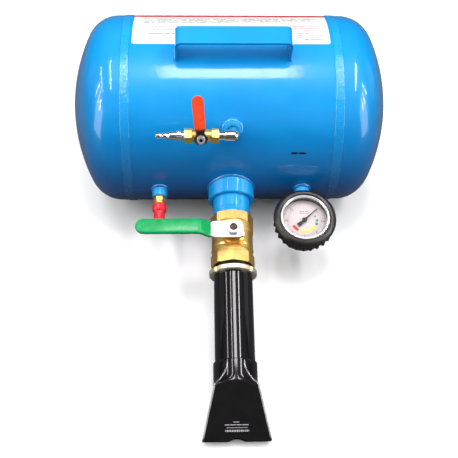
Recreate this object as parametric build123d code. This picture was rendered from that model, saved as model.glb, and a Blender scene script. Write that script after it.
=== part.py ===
"""Portable air receiver tank with a quarter-turn outlet valve and a flat fan nozzle (tyre bead seating tank).

Everything is drawn in the tank's own axes first: X along the tank, V straight out along the barrel (-Y),
W square to the barrel, through the valve stem and the carry handle (+Z). The finished assembly is then laid
down as it rests: tipped forward about the tank's axis until the nozzle's sleeve meets the ground.
All sizes are in millimetres.
"""

from build123d import *
import math
import os

# ---------------------------------------------------------------- driving dimensions
TANK_OD = 250.0          # outside diameter of shell and heads
WALL = 3.0               # plate thickness
SEAM_X = 133.5           # girth seam either side of the middle
FLANGE = 14.0            # straight flange of a dished head
HEAD_RISE = 62.5         # 2:1 elliptical head

HANDLE_X, HANDLE_LEN, HANDLE_W, HANDLE_H, HANDLE_T = 1.5, 143.0, 26.0, 34.4, 3.0

PIPE_R, PIPE_BORE_R = 24.15, 20.45      # 1 1/2 inch pipe
BUNG_R, BUNG_TOP = 30.0, 19.0           # outlet bung, height above the tank
VALVE_IN, VALVE_OUT = 43.5, 112.4       # outlet valve's two faces, above the tank
STEM_AT = 79.2                          # outlet valve stem, above the tank
RING_A, RING_B = 118.4, 124.8           # lock ring on the barrel
SLEEVE_AT, SQUARE_AT, LIP_AT = 236.0, 268.0, 327.0   # nozzle stations
LIP_HALF_W, LIP_HALF_H = 40.0, 5.6

SMALL_BUNG_R, SMALL_BUNG_TOP = 10.0, 13.0
THREAD_R = 6.75                         # 1/4 inch pipe thread
INLET_R = 5.15                          # 1/8 inch pipe thread of the inlet run
RELIEF_X, GAUGE_X = -93.7, 93.6
INLET_ANGLE = 45.0                      # inlet port, degrees up from the barrel
RUN_H = 36.5                            # height of the inlet valve's axis above the tank
INLET_STEM_X = -39.1
INLET_LEVER_LEAN = 4.5                  # degrees the small lever stands off square, towards the plug

GAUGE_OUT = 50.2                        # gauge centre above the tank
ZERO_DEG = 43.0                         # direction of the pointer at rest

BEAD_H = 1.2                            # crown of the girth weld, which is what the tank lies on

RO = TANK_OD / 2
RI = RO - WALL

# ---------------------------------------------------------------- helpers
MIN3 = (Align.CENTER, Align.CENTER, Align.MIN)


def cyl(r, z0, z1):
    return Pos(0, 0, z0) * Cylinder(r, z1 - z0, align=MIN3)


def tube(ro, ri, z0, z1):
    return cyl(ro, z0, z1) - cyl(ri, z0 - 1, z1 + 1)


def rev(*pts):
    """Solid of revolution about local Z from a closed (radius, z) outline."""
    face = make_face(Polyline(*pts, close=True))
    return Rot(90, 0, 0) * revolve(face, axis=Axis.Y)


def prism(sides, rc, z0, z1, turn=0.0, chamfer=0.0):
    """Wrench section: rc is the radius over corners."""
    p = Pos(0, 0, z0) * extrude(Rot(0, 0, turn) * RegularPolygon(rc, sides), amount=z1 - z0)
    if chamfer > 0:
        c = chamfer
        p = p & rev((0, z0), (rc - c, z0), (rc, z0 + c * 0.6), (rc, z1 - c * 0.6), (rc - c, z1), (0, z1))
    return p


def box(x0, x1, y0, y1, z0, z1):
    return Pos(x0, y0, z0) * Box(x1 - x0, y1 - y0, z1 - z0, align=(Align.MIN, Align.MIN, Align.MIN))


def one(s):
    """A part with its construction history dropped."""
    return Compound(children=list(s.solids())) if len(s.solids()) > 1 else s.solids()[0]


def along_v(x=0.0):
    """Local Z out along the barrel, local X along the tank, local Y along W. Z = 0 on the tank's surface line."""
    return Plane(origin=(x, -RO, 0), x_dir=(1, 0, 0), z_dir=(0, -1, 0)).location


CA, SA = math.cos(math.radians(INLET_ANGLE)), math.sin(math.radians(INLET_ANGLE))
AT_INLET = Plane(origin=(0, -RO * CA, RO * SA), x_dir=(1, 0, 0), z_dir=(0, -CA, SA)).location
TO_X = Rot(0, 90, 0)     # local Z becomes X

nodes = {}
tank_solid = TO_X * (Pos(0, 0, -SEAM_X) * Cylinder(RO, 2 * SEAM_X, align=MIN3))

# ---------------------------------------------------------------- tank
bung_places = {
    "main_outlet_bung": (along_v(0), BUNG_R, BUNG_TOP, PIPE_R),
    "relief_bung": (along_v(RELIEF_X), SMALL_BUNG_R, SMALL_BUNG_TOP, THREAD_R),
    "gauge_bung": (along_v(GAUGE_X), SMALL_BUNG_R, SMALL_BUNG_TOP - 4.2, THREAD_R),
    "inlet_bung": (AT_INLET, 10.8, 8.5, INLET_R),
}
shell = TO_X * tube(RO, RI, -SEAM_X, SEAM_X)
for loc, r, top, bore in bung_places.values():
    shell -= loc * cyl(r, -20, 20)
nodes["tank_shell"] = shell

# dished head: a knuckle and a crown, tangent to each other and to the straight flange
KNUCKLE = 0.17 * TANK_OD
kc = RO - KNUCKLE
CROWN = (kc ** 2 + HEAD_RISE ** 2 - KNUCKLE ** 2) / (2 * (HEAD_RISE - KNUCKLE))
y0 = SEAM_X + FLANGE
cy = y0 + HEAD_RISE - CROWN


def dish(off):
    """Points of one face of the head: flange end, knuckle middle, tangent point, crown middle, pole."""
    rk, rc_ = KNUCKLE - off, CROWN - off
    ta = math.atan2(y0 - cy, kc)
    half_k, half_c = ta / 2, (ta + math.pi / 2) / 2
    return ((kc + rk, y0), (kc + rk * math.cos(half_k), y0 + rk * math.sin(half_k)), (kc + rk * math.cos(ta), y0 + rk * math.sin(ta)),
            (rc_ * math.cos(half_c), cy + rc_ * math.sin(half_c)), (0, cy + rc_))


po, pi_ = dish(0), dish(WALL)
outline = [Line((RI, SEAM_X), (RO, SEAM_X)), Line((RO, SEAM_X), po[0]), ThreePointArc(po[0], po[1], po[2]), ThreePointArc(po[2], po[3], po[4]),
           Line(po[4], pi_[4]), ThreePointArc(pi_[4], pi_[3], pi_[2]), ThreePointArc(pi_[2], pi_[1], pi_[0]), Line(pi_[0], (RI, SEAM_X))]
head = Rot(90, 0, 0) * revolve(make_face(outline), axis=Axis.Y)
nodes["tank_head_right"] = Rot(0, 90, 0) * head
nodes["tank_head_left"] = Rot(0, -90, 0) * head

bead_face = make_face([ThreePointArc((RO, -6.0), (RO + BEAD_H, 0), (RO, 6.0)), Line((RO, 6.0), (RO, -6.0))])
bead = Rot(90, 0, 0) * revolve(bead_face, axis=Axis.Y)
nodes["girth_weld_beads"] = [TO_X * (Pos(0, 0, s * SEAM_X) * bead) for s in (-1, 1)]

# straight seam of the rolled shell, low on the back
SEAM_DEG = 215.0                        # degrees round the tank from the barrel's side
sw = 4.0
sy = math.sqrt(RO ** 2 - sw ** 2)
seam = make_face([ThreePointArc((-sw, sy), (0, RO + 0.9), (sw, sy)), ThreePointArc((sw, sy), (0, RO), (-sw, sy))])
seam = Rot(0, 90, 0) * (Pos(0, 0, -SEAM_X + 6.2) * extrude(seam, amount=2 * (SEAM_X - 6.2)))
nodes["shell_seam_weld"] = Rot(180.0 - SEAM_DEG, 0, 0) * seam

fillets = []
for name, (loc, r, top, bore) in bung_places.items():
    c = 0.8 if name == "main_outlet_bung" else 0.6
    lead = 2.2 if name == "inlet_bung" else 1.2      # countersink at the mouth
    body = rev((bore, -7), (r, -7), (r, top - c), (r - c, top), (bore + lead, top), (bore, top - lead))
    nodes[name] = loc * body
    if r > 20:      # a standing ring of weld round the outlet bung
        weld = rev((r, -6), (r + 1.9, -6), (r + 1.9, -0.4), (r + 1.5, 0.9), (r + 0.6, 1.8), (r, 2.0))
    else:
        toe = 3.4 if name == "inlet_bung" else 2.2
        weld = rev((r, -2.5), (r + toe + 0.9, -2.5), (r + toe, 0.1), (r + 0.4 * toe, 1.2), (r + 0.25, 2.9), (r, 3.2))
    fillets.append((loc * weld) - tank_solid)
nodes["bung_weld_fillets"] = fillets

# carry handle: one strap bent to a U and welded on its feet
hx0, hx1 = HANDLE_X - HANDLE_LEN / 2, HANDLE_X + HANDLE_LEN / 2
ztop = RO + HANDLE_H
outer = box(hx0, hx1, -HANDLE_W / 2, HANDLE_W / 2, RO - 8, ztop)
outer = fillet(outer.edges().filter_by(Axis.Y).group_by(Axis.Z)[-1], 7.5)
inner = box(hx0 + HANDLE_T, hx1 - HANDLE_T, -HANDLE_W / 2 - 1, HANDLE_W / 2 + 1, RO - 20, ztop - HANDLE_T)
inner = fillet(inner.edges().filter_by(Axis.Y).group_by(Axis.Z)[-1], 4.5)
strap = outer - inner
nodes["carry_handle"] = strap - tank_solid
hw = []
for s, hx in ((-1, hx0), (1, hx1)):
    # the bead follows the shell's curve, so it is a slice of a ring round the tank's axis
    ring_face = make_face([ThreePointArc((RO - 1.0, hx - 3.4), (RO + 2.6, hx), (RO - 1.0, hx + 3.4)), Line((RO - 1.0, hx + 3.4), (RO - 1.0, hx - 3.4))])
    ring = TO_X * (Rot(90, 0, 0) * revolve(ring_face, axis=Axis.Y))
    ring = ring & box(hx - 10, hx + 10, -HANDLE_W / 2 - 0.4, HANDLE_W / 2 + 0.4, RO - 15, RO + 20)
    hw.append((ring - tank_solid) - box(hx0, hx1, -60, 60, RO - 20, ztop))
nodes["handle_weld_beads"] = hw

# instruction label: a printed film wrapped round the back of the shell
LABEL_T = 0.3
LABEL_FROM, LABEL_TO = 96.3, 165.0      # degrees round the tank from the barrel's side
lab = Rot(90, 0, 0) * make_face(Polyline((-125.0, RO), (124.5, RO), (124.5, RO + LABEL_T), (-125.0, RO + LABEL_T), close=True))
lab = revolve(lab, axis=Axis.X, revolution_arc=LABEL_TO - LABEL_FROM)
nodes["instruction_label"] = Rot(-(LABEL_TO - 90.0), 0, 0) * lab

# ---------------------------------------------------------------- outlet: nipple, ball valve, barrel, nozzle
M = along_v(0)


def grooved(r, bore, z0, z1, g0, g1, pitch, depth):
    """Pipe with thread rings between g0 and g1."""
    pts = [(bore, z0), (r, z0)]
    z = g0
    while z + pitch <= g1 + 1e-6:
        pts += [(r, z + 0.15), (r - depth, z + pitch / 2), (r, z + pitch - 0.15)]
        z += pitch
    pts += [(r, z1), (bore, z1)]
    return rev(*pts)


nodes["outlet_nipple"] = M * grooved(PIPE_R, PIPE_BORE_R, -5, 58, 34.5, 43.3, 2.2, 0.7)

RC = 27.6               # wrench octagon, over corners, one corner towards the stem
BALL_R, PORT_R, SEAT_R, CAVITY_R = 17.5, 12.5, 17.0, 19.6
s0 = STEM_AT
LEV_Z, LEV_RISE = 41.3, 9.5             # underside of the lever at the stem, and its crank
body = prism(8, RC, VALVE_IN, 57, turn=90.0, chamfer=1.2)
body += rev((0, 55), (25.6, 55), (27.2, 57.5), (27.2, 67.0), (26.2, 68.2), (26.2, 86.5), (25.4, 89.5), (0, 89.5))
boss = Pos(0, 0, s0) * (Rot(-90, 0, 0) * (cyl(12.3, 0, 33.5) + cyl(14.2, 0, 26.6)))
# two cast stops for the lever's turned-down tab, one for shut and one for open
boss += box(4.0, 12.4, 28.4, 32.0, s0 + 5.0, s0 + 12.8) + box(7.4, 12.4, 28.4, LEV_Z - 0.6, s0 + 10.0, s0 + 12.8)
boss += box(-2.2, 2.4, 22.0, LEV_Z - 1.4, s0 - 14.0, s0 - 11.9)
boss -= rev((0, 89.5), (28.2, 89.5), (28.2, 120), (0, 120))
body += boss
body -= rev((0, 40), (PIPE_R + 0.9, 40), (PIPE_R + 0.9, VALVE_IN + 0.2), (PIPE_R, VALVE_IN + 1.2), (PIPE_R, 58), (PORT_R, 58), (PORT_R, 62), (SEAT_R, 62), (SEAT_R, 66),
            (CAVITY_R, 66), (CAVITY_R, 95), (0, 95))
stem_hole = Pos(0, 0, s0) * (Rot(-90, 0, 0) * (cyl(6.05, 0, 40) + cyl(9.0, 26, 40)))
body -= stem_hole
nodes["main_valve_body"] = M * body

cap = rev((0, 89.5), (26.2, 89.5), (26.7, 90.3), (26.7, 92.6), (24.9, 94.0), (24.9, 97.0), (26.2, 98.5), (0, 98.5))
cap += prism(8, RC, 97.8, VALVE_OUT, turn=90.0, chamfer=1.2)
cap += cyl(CAVITY_R, 86, 90)
cap -= rev((0, 80), (SEAT_R, 80), (SEAT_R, 98), (PORT_R, 98), (PORT_R, 100.5), (PIPE_R, 100.5), (PIPE_R, VALVE_OUT - 1.0), (PIPE_R + 0.8, VALVE_OUT), (PIPE_R + 0.8, 120), (0, 120))
nodes["main_valve_end_cap"] = M * cap

ball = Pos(0, 0, s0) * Sphere(BALL_R)
ball -= Pos(0, 0, s0) * (Rot(0, 90, 0) * Cylinder(PORT_R - 0.5, 60))       # closed: the port lies across the pipe
ball -= box(-20, 20, BALL_R - 4.0, BALL_R + 1, s0 - 3.0, s0 + 3.0)
nodes["main_valve_ball"] = M * ball
clear = Pos(0, 0, s0) * Sphere(BALL_R + 0.1)
nodes["main_valve_seats"] = [M * (tube(SEAT_R, PORT_R, 62, 68.5) - clear), M * (tube(SEAT_R, PORT_R, 91.5, 98) - clear)]

UP = M * Pos(0, 0, s0) * Rot(-90, 0, 0)     # local Z along W on the stem, local X along the tank, local Y against V
stem = cyl(6.0, BALL_R + 0.2, LEV_Z + 3.0) + cyl(4.9, LEV_Z, LEV_Z + 8.2)
stem += box(-10, 10, -2.95, 2.95, BALL_R - 3.9, BALL_R + 0.5) & cyl(6.0, 0, 40)
nodes["main_valve_stem"] = UP * stem
nodes["main_valve_packing"] = UP * tube(9.0, 6.05, 26, 30.5)
gland = cyl(9.0, 30.5, 34) + prism(6, 10.2, 34, 40.4, chamfer=1.0)
nodes["main_valve_gland_nut"] = UP * (gland - cyl(6.05, 20, 60))


def cranked(x_in, x_up, x_end, z0, rise, t, half_v, x_tail):
    """Side outline of a cranked lever, as a slab along local Y."""
    pts = [(x_tail, z0), (x_in, z0), (x_up, z0 + rise), (x_end, z0 + rise), (x_end, z0 + rise + t),
           (x_up, z0 + rise + t), (x_in, z0 + t), (x_tail, z0 + t)]
    f = make_face(Polyline(*[(x, z) for x, z in pts], close=True))
    return Rot(90, 0, 0) * (Pos(0, 0, -half_v) * extrude(f, amount=2 * half_v))


plan = make_face(Polyline((12.2, -7.0), (12.2, 7.0), (8.6, 10.6), (-24.0, 10.6), (-29.0, 7.8), (-112.0, 7.8), (-116.0, 4.5), (-116.0, -4.5),
                          (-112.0, -7.8), (-29.0, -7.8), (-24.0, -10.6), (8.6, -10.6), close=True))
slab = cranked(-27.5, -41.0, -117.0, LEV_Z, LEV_RISE, 3.0, 14, 14.0)
lever = slab & (extrude(plan, amount=80))
blade_only = lever
lever += box(10.4, 13.2, -9.4, -3.4, LEV_Z - 4.4, LEV_Z + 3.0)
lever -= cyl(6.0, 0, 80)
nodes["main_valve_lever"] = UP * lever
sl = cranked(-28.0, -41.5, -120.0, LEV_Z - 1.7, LEV_RISE, 6.4, 14, -26.5)
sl_plan = make_face([Polyline((-110.0, -9.8), (-27.6, -9.8), (-27.6, 9.8), (-110.0, 9.8)), ThreePointArc((-110.0, 9.8), (-119.6, 0.0), (-110.0, -9.8))])
sleeve = sl & extrude(sl_plan, amount=80)
try:
    sleeve = fillet(sleeve.edges().filter_by(lambda e: e.length > 9 and abs((e @ 0).Y) > 9.0 and abs((e @ 1).Y) > 9.0 and abs(((e @ 0) - (e @ 1)).X) > 5), 1.6)
except Exception:
    pass
nodes["main_valve_lever_sleeve"] = UP * (sleeve - blade_only)
nut = prism(6, 8.4, LEV_Z + 3.9, LEV_Z + 8.8, chamfer=0.9) + cyl(8.0, LEV_Z + 3.0, LEV_Z + 3.9) + cyl(6.3, LEV_Z + 8.4, LEV_Z + 9.6)
# the plate's hole takes the stem's full section up to its top face
nodes["main_valve_lever_nut"] = UP * (nut - cyl(4.9, 40, 60))

ring = rev((PIPE_R, RING_A), (29.0, RING_A), (30.1, RING_A + 1.1), (30.1, RING_B - 1.1), (29.0, RING_B), (PIPE_R, RING_B))
for k in range(4):
    ring -= Rot(0, 0, 45 + 90 * k) * box(28.2, 33, -3.0, 3.0, RING_A - 1, RING_B + 1)
nodes["barrel_lock_ring"] = M * ring
nodes["barrel_tube"] = M * grooved(PIPE_R, PIPE_BORE_R, 100.5, 254, 111.5, 126.0, 2.2, 0.7)


def ring_pts(hw_, hh_, r_, z_, n=6):
    """Corner points of a rounded rectangle: half-width, half-height, corner radius, station."""
    pts = []
    for cx, cy, a0 in ((hw_ - r_, hh_ - r_, 0), (-hw_ + r_, hh_ - r_, 90), (-hw_ + r_, -hh_ + r_, 180), (hw_ - r_, -hh_ + r_, 270)):
        for k in range(n + 1):
            t = math.radians(a0 + 90 * k / n)
            pts.append(Vector(cx + r_ * math.cos(t), cy + r_ * math.sin(t), z_))
    return pts


def facets(*rings):
    """Folded sheet surface between rings of the same point count, closed at both ends."""
    faces, n = [], len(rings[0])
    for r0, r1 in zip(rings, rings[1:]):
        for i in range(n):
            a, b, c, d = r0[i], r0[(i + 1) % n], r1[(i + 1) % n], r1[i]
            faces += [Face(Wire.make_polygon([a, b, c])), Face(Wire.make_polygon([a, c, d]))]
    faces += [Face(Wire.make_polygon(rings[0])), Face(Wire.make_polygon(rings[-1]))]
    return Solid(Shell(faces))


SR = 26.3
noz = cyl(SR, SLEEVE_AT, SLEEVE_AT + 5.0)
noz += facets(ring_pts(SR, SR, SR - 0.25, SLEEVE_AT + 5.0), ring_pts(SR, SR, 4.5, SQUARE_AT), ring_pts(LIP_HALF_W, LIP_HALF_H, 2.2, LIP_AT))
noz = noz - cyl(PIPE_R, SLEEVE_AT - 1, 254) - cyl(PIPE_BORE_R, 253, 262.2)
noz -= facets(ring_pts(PIPE_BORE_R, PIPE_BORE_R, PIPE_BORE_R - 0.25, 262), ring_pts(23.3, 22.8, 3.0, 271), ring_pts(LIP_HALF_W - 2.2, LIP_HALF_H - 2.1, 0.9, LIP_AT), ring_pts(LIP_HALF_W - 2.2, LIP_HALF_H - 2.1, 0.9, LIP_AT + 4))
NOTCH_R = 16.7
noz -= Pos(0, 0, LIP_AT + NOTCH_R - 2.8) * (Rot(90, 0, 0) * Cylinder(NOTCH_R, 40))
nodes["nozzle"] = M * noz

# ---------------------------------------------------------------- inlet: elbow, ball valve, plug
I = AT_INLET
RUN = I * Pos(0, 0, RUN_H) * Rot(0, -90, 0)     # local Z towards -X along the run, local X against the port's axis... see below
# local X of RUN is the port's outward direction, local Y the climb towards the handle
elbow = cyl(INLET_R, -4, 12.0) + rev((0, 11.5), (5.7, 11.5), (5.7, 19.0), (6.4, 22.0), (6.4, RUN_H), (0, RUN_H)) + Pos(0, 0, RUN_H) * Sphere(6.6)
elbow += Pos(0, 0, RUN_H) * (Rot(0, -90, 0) * (cyl(6.4, 0, 10.6) + cyl(INLET_R, 9.0, 25.2)))
elbow -= cyl(3.4, -6, RUN_H) + Pos(0, 0, RUN_H) * Sphere(3.4) + Pos(0, 0, RUN_H) * (Rot(0, -90, 0) * cyl(3.4, 0, 30))
nodes["inlet_elbow"] = I * elbow

BODY_A, BODY_B, CAP_END = 17.6, 49.4, 59.1     # inlet valve's faces along the run
c0 = -INLET_STEM_X
HEX2, BR2, PR2, SR2, CAV2 = 9.3, 5.6, 3.2, 5.5, 6.3
vb = prism(6, HEX2, BODY_A, 26.2, turn=0.0, chamfer=0.8)
vb += rev((0, 25.5), (6.8, 25.5), (7.5, 28.0), (7.7, 33.0), (7.7, 46.0), (7.2, BODY_B), (0, BODY_B))
vb += Pos(0, 0, c0) * (Rot(0, 90, 0) * (cyl(5.3, 0, 13.4)))
vb -= rev((0, 10), (INLET_R, 10), (INLET_R, 26.0), (PR2, 26.0), (PR2, 31.0), (SR2, 31.0), (SR2, 33.6), (CAV2, 33.6), (CAV2, 60), (0, 60))
vb -= Pos(0, 0, c0) * (Rot(0, 90, 0) * (cyl(2.55, 0, 20) + cyl(3.9, 10.0, 20)))
nodes["inlet_valve_body"] = RUN * vb
vc = prism(6, HEX2, BODY_B, CAP_END, turn=0.0, chamfer=0.8) + cyl(CAV2, 44.6, BODY_B + 0.2)
vc -= rev((0, 40), (SR2, 40), (SR2, 46.6), (PR2, 46.6), (PR2, 50.6), (INLET_R, 50.6), (INLET_R, 61), (0, 61))
nodes["inlet_valve_end_cap"] = RUN * vc
LEAN = Pos(0, 0, c0) * Rot(INLET_LEVER_LEAN, 0, 0) * Pos(0, 0, -c0)
b2 = Pos(0, 0, c0) * Sphere(BR2)
b2 -= Pos(0, 0, c0) * (Rot(90, 0, 0) * Cylinder(PR2 - 0.2, 30))
b2 -= box(BR2 - 1.8, BR2 + 1, -1.3, 1.3, c0 - 10, c0 + 10)
nodes["inlet_valve_ball"] = RUN * (LEAN * b2)
cl2 = Pos(0, 0, c0) * Sphere(BR2 + 0.08)
nodes["inlet_valve_seats"] = [RUN * (tube(SR2, PR2, 31.0, 35.2) - cl2), RUN * (tube(SR2, PR2, 43.0, 46.6) - cl2)]

FIX2 = I * Pos(INLET_STEM_X, 0, RUN_H)         # local Z outwards on the small stem, local Y towards the handle
UP2 = FIX2 * Rot(0, 0, INLET_LEVER_LEAN)
LZ2 = 17.5
st = cyl(2.5, BR2 + 0.1, LZ2 + 2.0) + cyl(2.1, LZ2, LZ2 + 7.2)
st += box(-10, 10, -1.25, 1.25, BR2 - 1.7, BR2 + 0.3) & cyl(2.5, 0, 30)
nodes["inlet_valve_stem"] = UP2 * st
nodes["inlet_valve_packing"] = FIX2 * tube(3.9, 2.55, 10.0, 12.0)
nodes["inlet_valve_gland_nut"] = FIX2 * ((cyl(3.9, 12.0, 13.4) + prism(6, 5.6, 13.4, 16.6, chamfer=0.5)) - cyl(2.55, 0, 30))
# small lever: ears beside the nut, cranked up into the grip
sp = [(-8.0, LZ2), (10.5, LZ2), (14.5, LZ2 + 4.5), (51.0, LZ2 + 4.5), (51.0, LZ2 + 6.5), (13.7, LZ2 + 6.5), (9.7, LZ2 + 2.0), (-8.0, LZ2 + 2.0)]
slab2 = Pos(-14, 0, 0) * (Rot(0, 90, 0) * (Rot(0, 0, 90) * extrude(make_face(Polyline(*sp, close=True)), amount=28)))
pl2 = make_face(Polyline((-6.2, -4.0), (-3.2, -6.6), (3.2, -6.6), (6.2, -4.0), (8.0, -1.0), (8.0, 2.0), (5.2, 5.5), (5.0, 14.0), (6.0, 46.0), (3.5, 50.0), (-3.5, 50.0), (-6.0, 46.0), (-5.0, 14.0), (-5.2, 5.5), (-8.0, 2.0), (-8.0, -1.0), close=True))
lev2 = slab2 & extrude(pl2, amount=60)
lev2 -= cyl(2.5, 0, 60)
nodes["inlet_valve_lever"] = UP2 * lev2
sp3 = [(11.9, LZ2 + 0.2), (15.0, LZ2 + 3.3), (56.0, LZ2 + 3.3), (56.0, LZ2 + 7.9), (13.5, LZ2 + 7.9), (9.9, LZ2 + 3.6)]
slab3 = Pos(-14, 0, 0) * (Rot(0, 90, 0) * (Rot(0, 0, 90) * extrude(make_face(Polyline(*sp3, close=True)), amount=28)))
pl3 = make_face([Polyline((-7.0, 46.0), (-6.3, 11.3), (6.3, 11.3), (7.0, 46.0)), ThreePointArc((7.0, 46.0), (0, 52.2), (-7.0, 46.0))])
dip = slab3 & extrude(pl3, amount=60)
nodes["inlet_valve_lever_sleeve"] = UP2 * (dip - (slab2 & extrude(pl2, amount=60)))
n2 = prism(6, 5.1, LZ2 + 2.7, LZ2 + 8.0, chamfer=0.6) + cyl(4.9, LZ2 + 2.0, LZ2 + 2.7)
nodes["inlet_valve_lever_nut"] = UP2 * (n2 - cyl(2.1, 0, 60))

plug = rev((2.2, 51.0), (INLET_R, 51.0), (INLET_R, 60.4), (4.7, 61.6), (4.7, 62.9), (6.2, 62.9), (6.2, 67.7), (5.0, 67.7), (5.0, 77.2), (3.6, 79.8), (3.6, 84.2), (2.7, 85.5),
           (2.7, 87.0), (3.5, 88.1), (3.5, 92.4), (2.9, 93.2), (2.2, 93.2))
plug += prism(6, 6.8, 62.9, 67.7, chamfer=0.5) - cyl(4.0, 60, 70)
nodes["inlet_plug"] = RUN * plug

# ---------------------------------------------------------------- pressure relief valve
S = along_v(RELIEF_X)
rb = rev((2.5, -3), (THREAD_R, -3), (THREAD_R, 13.2), (6.2, 13.2), (6.2, 33.0), (5.6, 33.6), (4.6, 33.6), (4.6, 8.0), (2.5, 8.0))
rb += prism(6, 7.7, 13.2, 20.0, chamfer=0.6) - cyl(4.6, 0, 40)
for turn in (30.0, 150.0, 270.0):       # vent holes through the wrench flats
    rb -= Pos(0, 0, 16.8) * (Rot(0, 0, turn) * (Rot(0, 90, 0) * cyl(1.2, 2, 15)))
nodes["relief_valve_body"] = S * rb
nodes["relief_seal"] = S * tube(3.9, 1.5, 8.1, 9.6)
nodes["relief_poppet"] = S * (cyl(1.5, 8.1, 47.4) + cyl(4.2, 9.6, 11.4))
nodes["relief_spring_retainer"] = S * tube(4.6, 1.62, 29.0, 32.2)
helix = Helix(pitch=2.7, height=16.2, radius=3.2)
wire_sec = Plane(origin=helix @ 0, z_dir=helix % 0) * Rectangle(1.0, 0.9)      # square spring wire
nodes["relief_spring"] = S * (Pos(0, 0, 12.1) * sweep(wire_sec, path=helix, is_frenet=True))
rc = rev((6.6, 24.0), (8.8, 24.0), (9.2, 24.6), (9.2, 32.4), (8.6, 33.6), (7.4, 35.0), (7.1, 36.4), (7.1, 47.6), (6.4, 48.6), (1.5, 48.6), (1.5, 37.6), (6.6, 37.6))
for k in range(24):
    rc -= Rot(0, 0, 15 * k) * (Pos(9.6, 0, 20) * Cylinder(0.6, 30, align=MIN3))
nodes["relief_cap"] = S * rc

# ---------------------------------------------------------------- pressure gauge, stem towards the tank
G = Plane(origin=(GAUGE_X, -(RO + GAUGE_OUT), 0), x_dir=(1, 0, 0), z_dir=(0, 0, 1)).location   # local Z out of the dial, local Y towards the tank
CASE_R = 31.5
case = rev((0, -14), (CASE_R - 2, -14), (CASE_R, -12), (CASE_R, 13.0), (CASE_R - 1.2, 13.0), (CASE_R - 1.2, -11.6), (CASE_R - 2.6, -12.8), (0, -12.8))
case -= Rot(-90, 0, 0) * cyl(5.6, 20, 40)
nodes["gauge_case"] = G * case
nodes["gauge_bezel"] = G * rev((31.5, 8.0), (33.0, 8.0), (33.0, 15.4), (31.2, 15.8), (30.8, 17.4), (29.8, 17.6), (28.4, 15.9), (28.4, 15.2), (31.5, 15.2))
nodes["gauge_lens"] = G * cyl(31.3, 13.2, 15.1)
dial = cyl(29.7, 4.2, 4.8) - cyl(1.6, 0, 10)
nodes["gauge_dial"] = G * dial
zero = ZERO_DEG
ptr = make_face(Polyline((-11.5, -2.6), (-10.5, 2.6), (-4.0, 0.9), (2.0, 1.3), (20.0, 0.35), (23.5, 0.0), (20.0, -0.35), (2.0, -1.3), (-4.0, -0.9), close=True))
ptr = Pos(0, 0, 7.6) * extrude(ptr, amount=0.6) + cyl(3.0, 7.2, 8.9)
nodes["gauge_pointer"] = G * (Rot(0, 0, zero) * (ptr - cyl(0.8, 0, 20)))

# movement: pinion on the pointer's spindle, toothed sector on its own pivot
MOD, ZP, ZS = 0.4, 8, 64
RP, RS = MOD * ZP / 2, MOD * ZS / 2
CD = RP + RS


def teeth(n_from, n_to, r_pitch, z, add, ded, share=0.34):
    """Tooth outlines as thin trapezoids set on the root circle, numbered round +X."""
    out = []
    step = 360.0 / z
    for k in range(n_from, n_to):
        a = math.radians(k * step)
        w_root, w_tip = share * MOD * math.pi * 0.62, share * MOD * math.pi * 0.22
        r0, r1 = r_pitch - ded, r_pitch + add
        pts = [(r0 - 0.15, -w_root), (r1, -w_tip), (r1, w_tip), (r0 - 0.15, w_root)]
        out.append([(x * math.cos(a) - y * math.sin(a), x * math.sin(a) + y * math.cos(a)) for x, y in pts])
    return out


def toothed(disc, outlines, z0, z1):
    s = disc
    for p in outlines:
        s += Pos(0, 0, z0) * extrude(make_face(Polyline(*p, close=True)), amount=z1 - z0)
    return s


pinion = toothed(cyl(RP - 0.42, -2.0, 1.6), teeth(0, ZP, RP, ZP, 0.34, 0.46), -2.0, 1.6)
spindle = cyl(0.8, -6.0, 8.6) + (Rot(0, 0, 180.0) * pinion)
nodes["gauge_spindle"] = G * spindle
# the sector's pivot lies on local -X; its teeth face the spindle with a gap on the line of centres
hub = cyl(2.2, -1.4, 1.0)
half = 360.0 / ZS / 2
arc_pts = []
for k in range(0, 33):
    a = math.radians(-44.5 + (11.0 + 44.5) * k / 32.0)
    arc_pts.append(((RS - 0.44) * math.cos(a), (RS - 0.44) * math.sin(a)))
blade = make_face(Polyline((0, 0), *arc_pts, close=True))
sector = Pos(0, 0, -1.0) * extrude(blade, amount=1.4)
sector -= Rot(0, 0, -17) * (Pos(7.4, 0, -5) * Cylinder(2.0, 10, align=MIN3))
sector += hub
outl = []
for k in range(-8, 2):
    outl += teeth(k, k + 1, RS, ZS, 0.34, 0.46)
for p in outl:
    q = Pos(0, 0, -1.0) * extrude(make_face(Polyline(*p, close=True)), amount=1.4)
    sector += Rot(0, 0, half) * q
tail = Pos(0, 0, -1.0) * extrude(make_face(Polyline((-8.0, -1.2), (0, -1.8), (0, 1.8), (-8.0, 1.2), close=True)), amount=1.4)
sector += tail
sector -= cyl(0.82, -10, 10)
SECTOR_LOC = G * Pos(-CD, 0, 0)
nodes["gauge_sector_gear"] = SECTOR_LOC * sector
nodes["gauge_link"] = SECTOR_LOC * (box(-8.5, -7.5, -3.8, 0.8, -1.75, -1.05))

plate_low = box(-20.5, 6, -11.8, 11.8, -8.6, -7.4)
plate_top = box(-20.5, 6, -11.8, 11.8, 2.4, 3.4)
pil = [Pos(x, y, -7.4) * Cylinder(1.2, 9.8, align=MIN3) for x, y in ((-18.6, -10.4), (-18.6, 10.4), (4.2, -10.4), (4.2, 10.4))]
frame_ = plate_low + plate_top
for p in pil:
    frame_ += p
frame_ += box(-5.4, 5.4, 11.0, 24.0, -8.6, -7.4)
frame_ -= cyl(0.86, -10, 10)
frame_ += Pos(-CD, 0, -7.5) * Cylinder(0.78, 10.0, align=MIN3)
nodes["gauge_movement_frame"] = G * frame_

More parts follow.
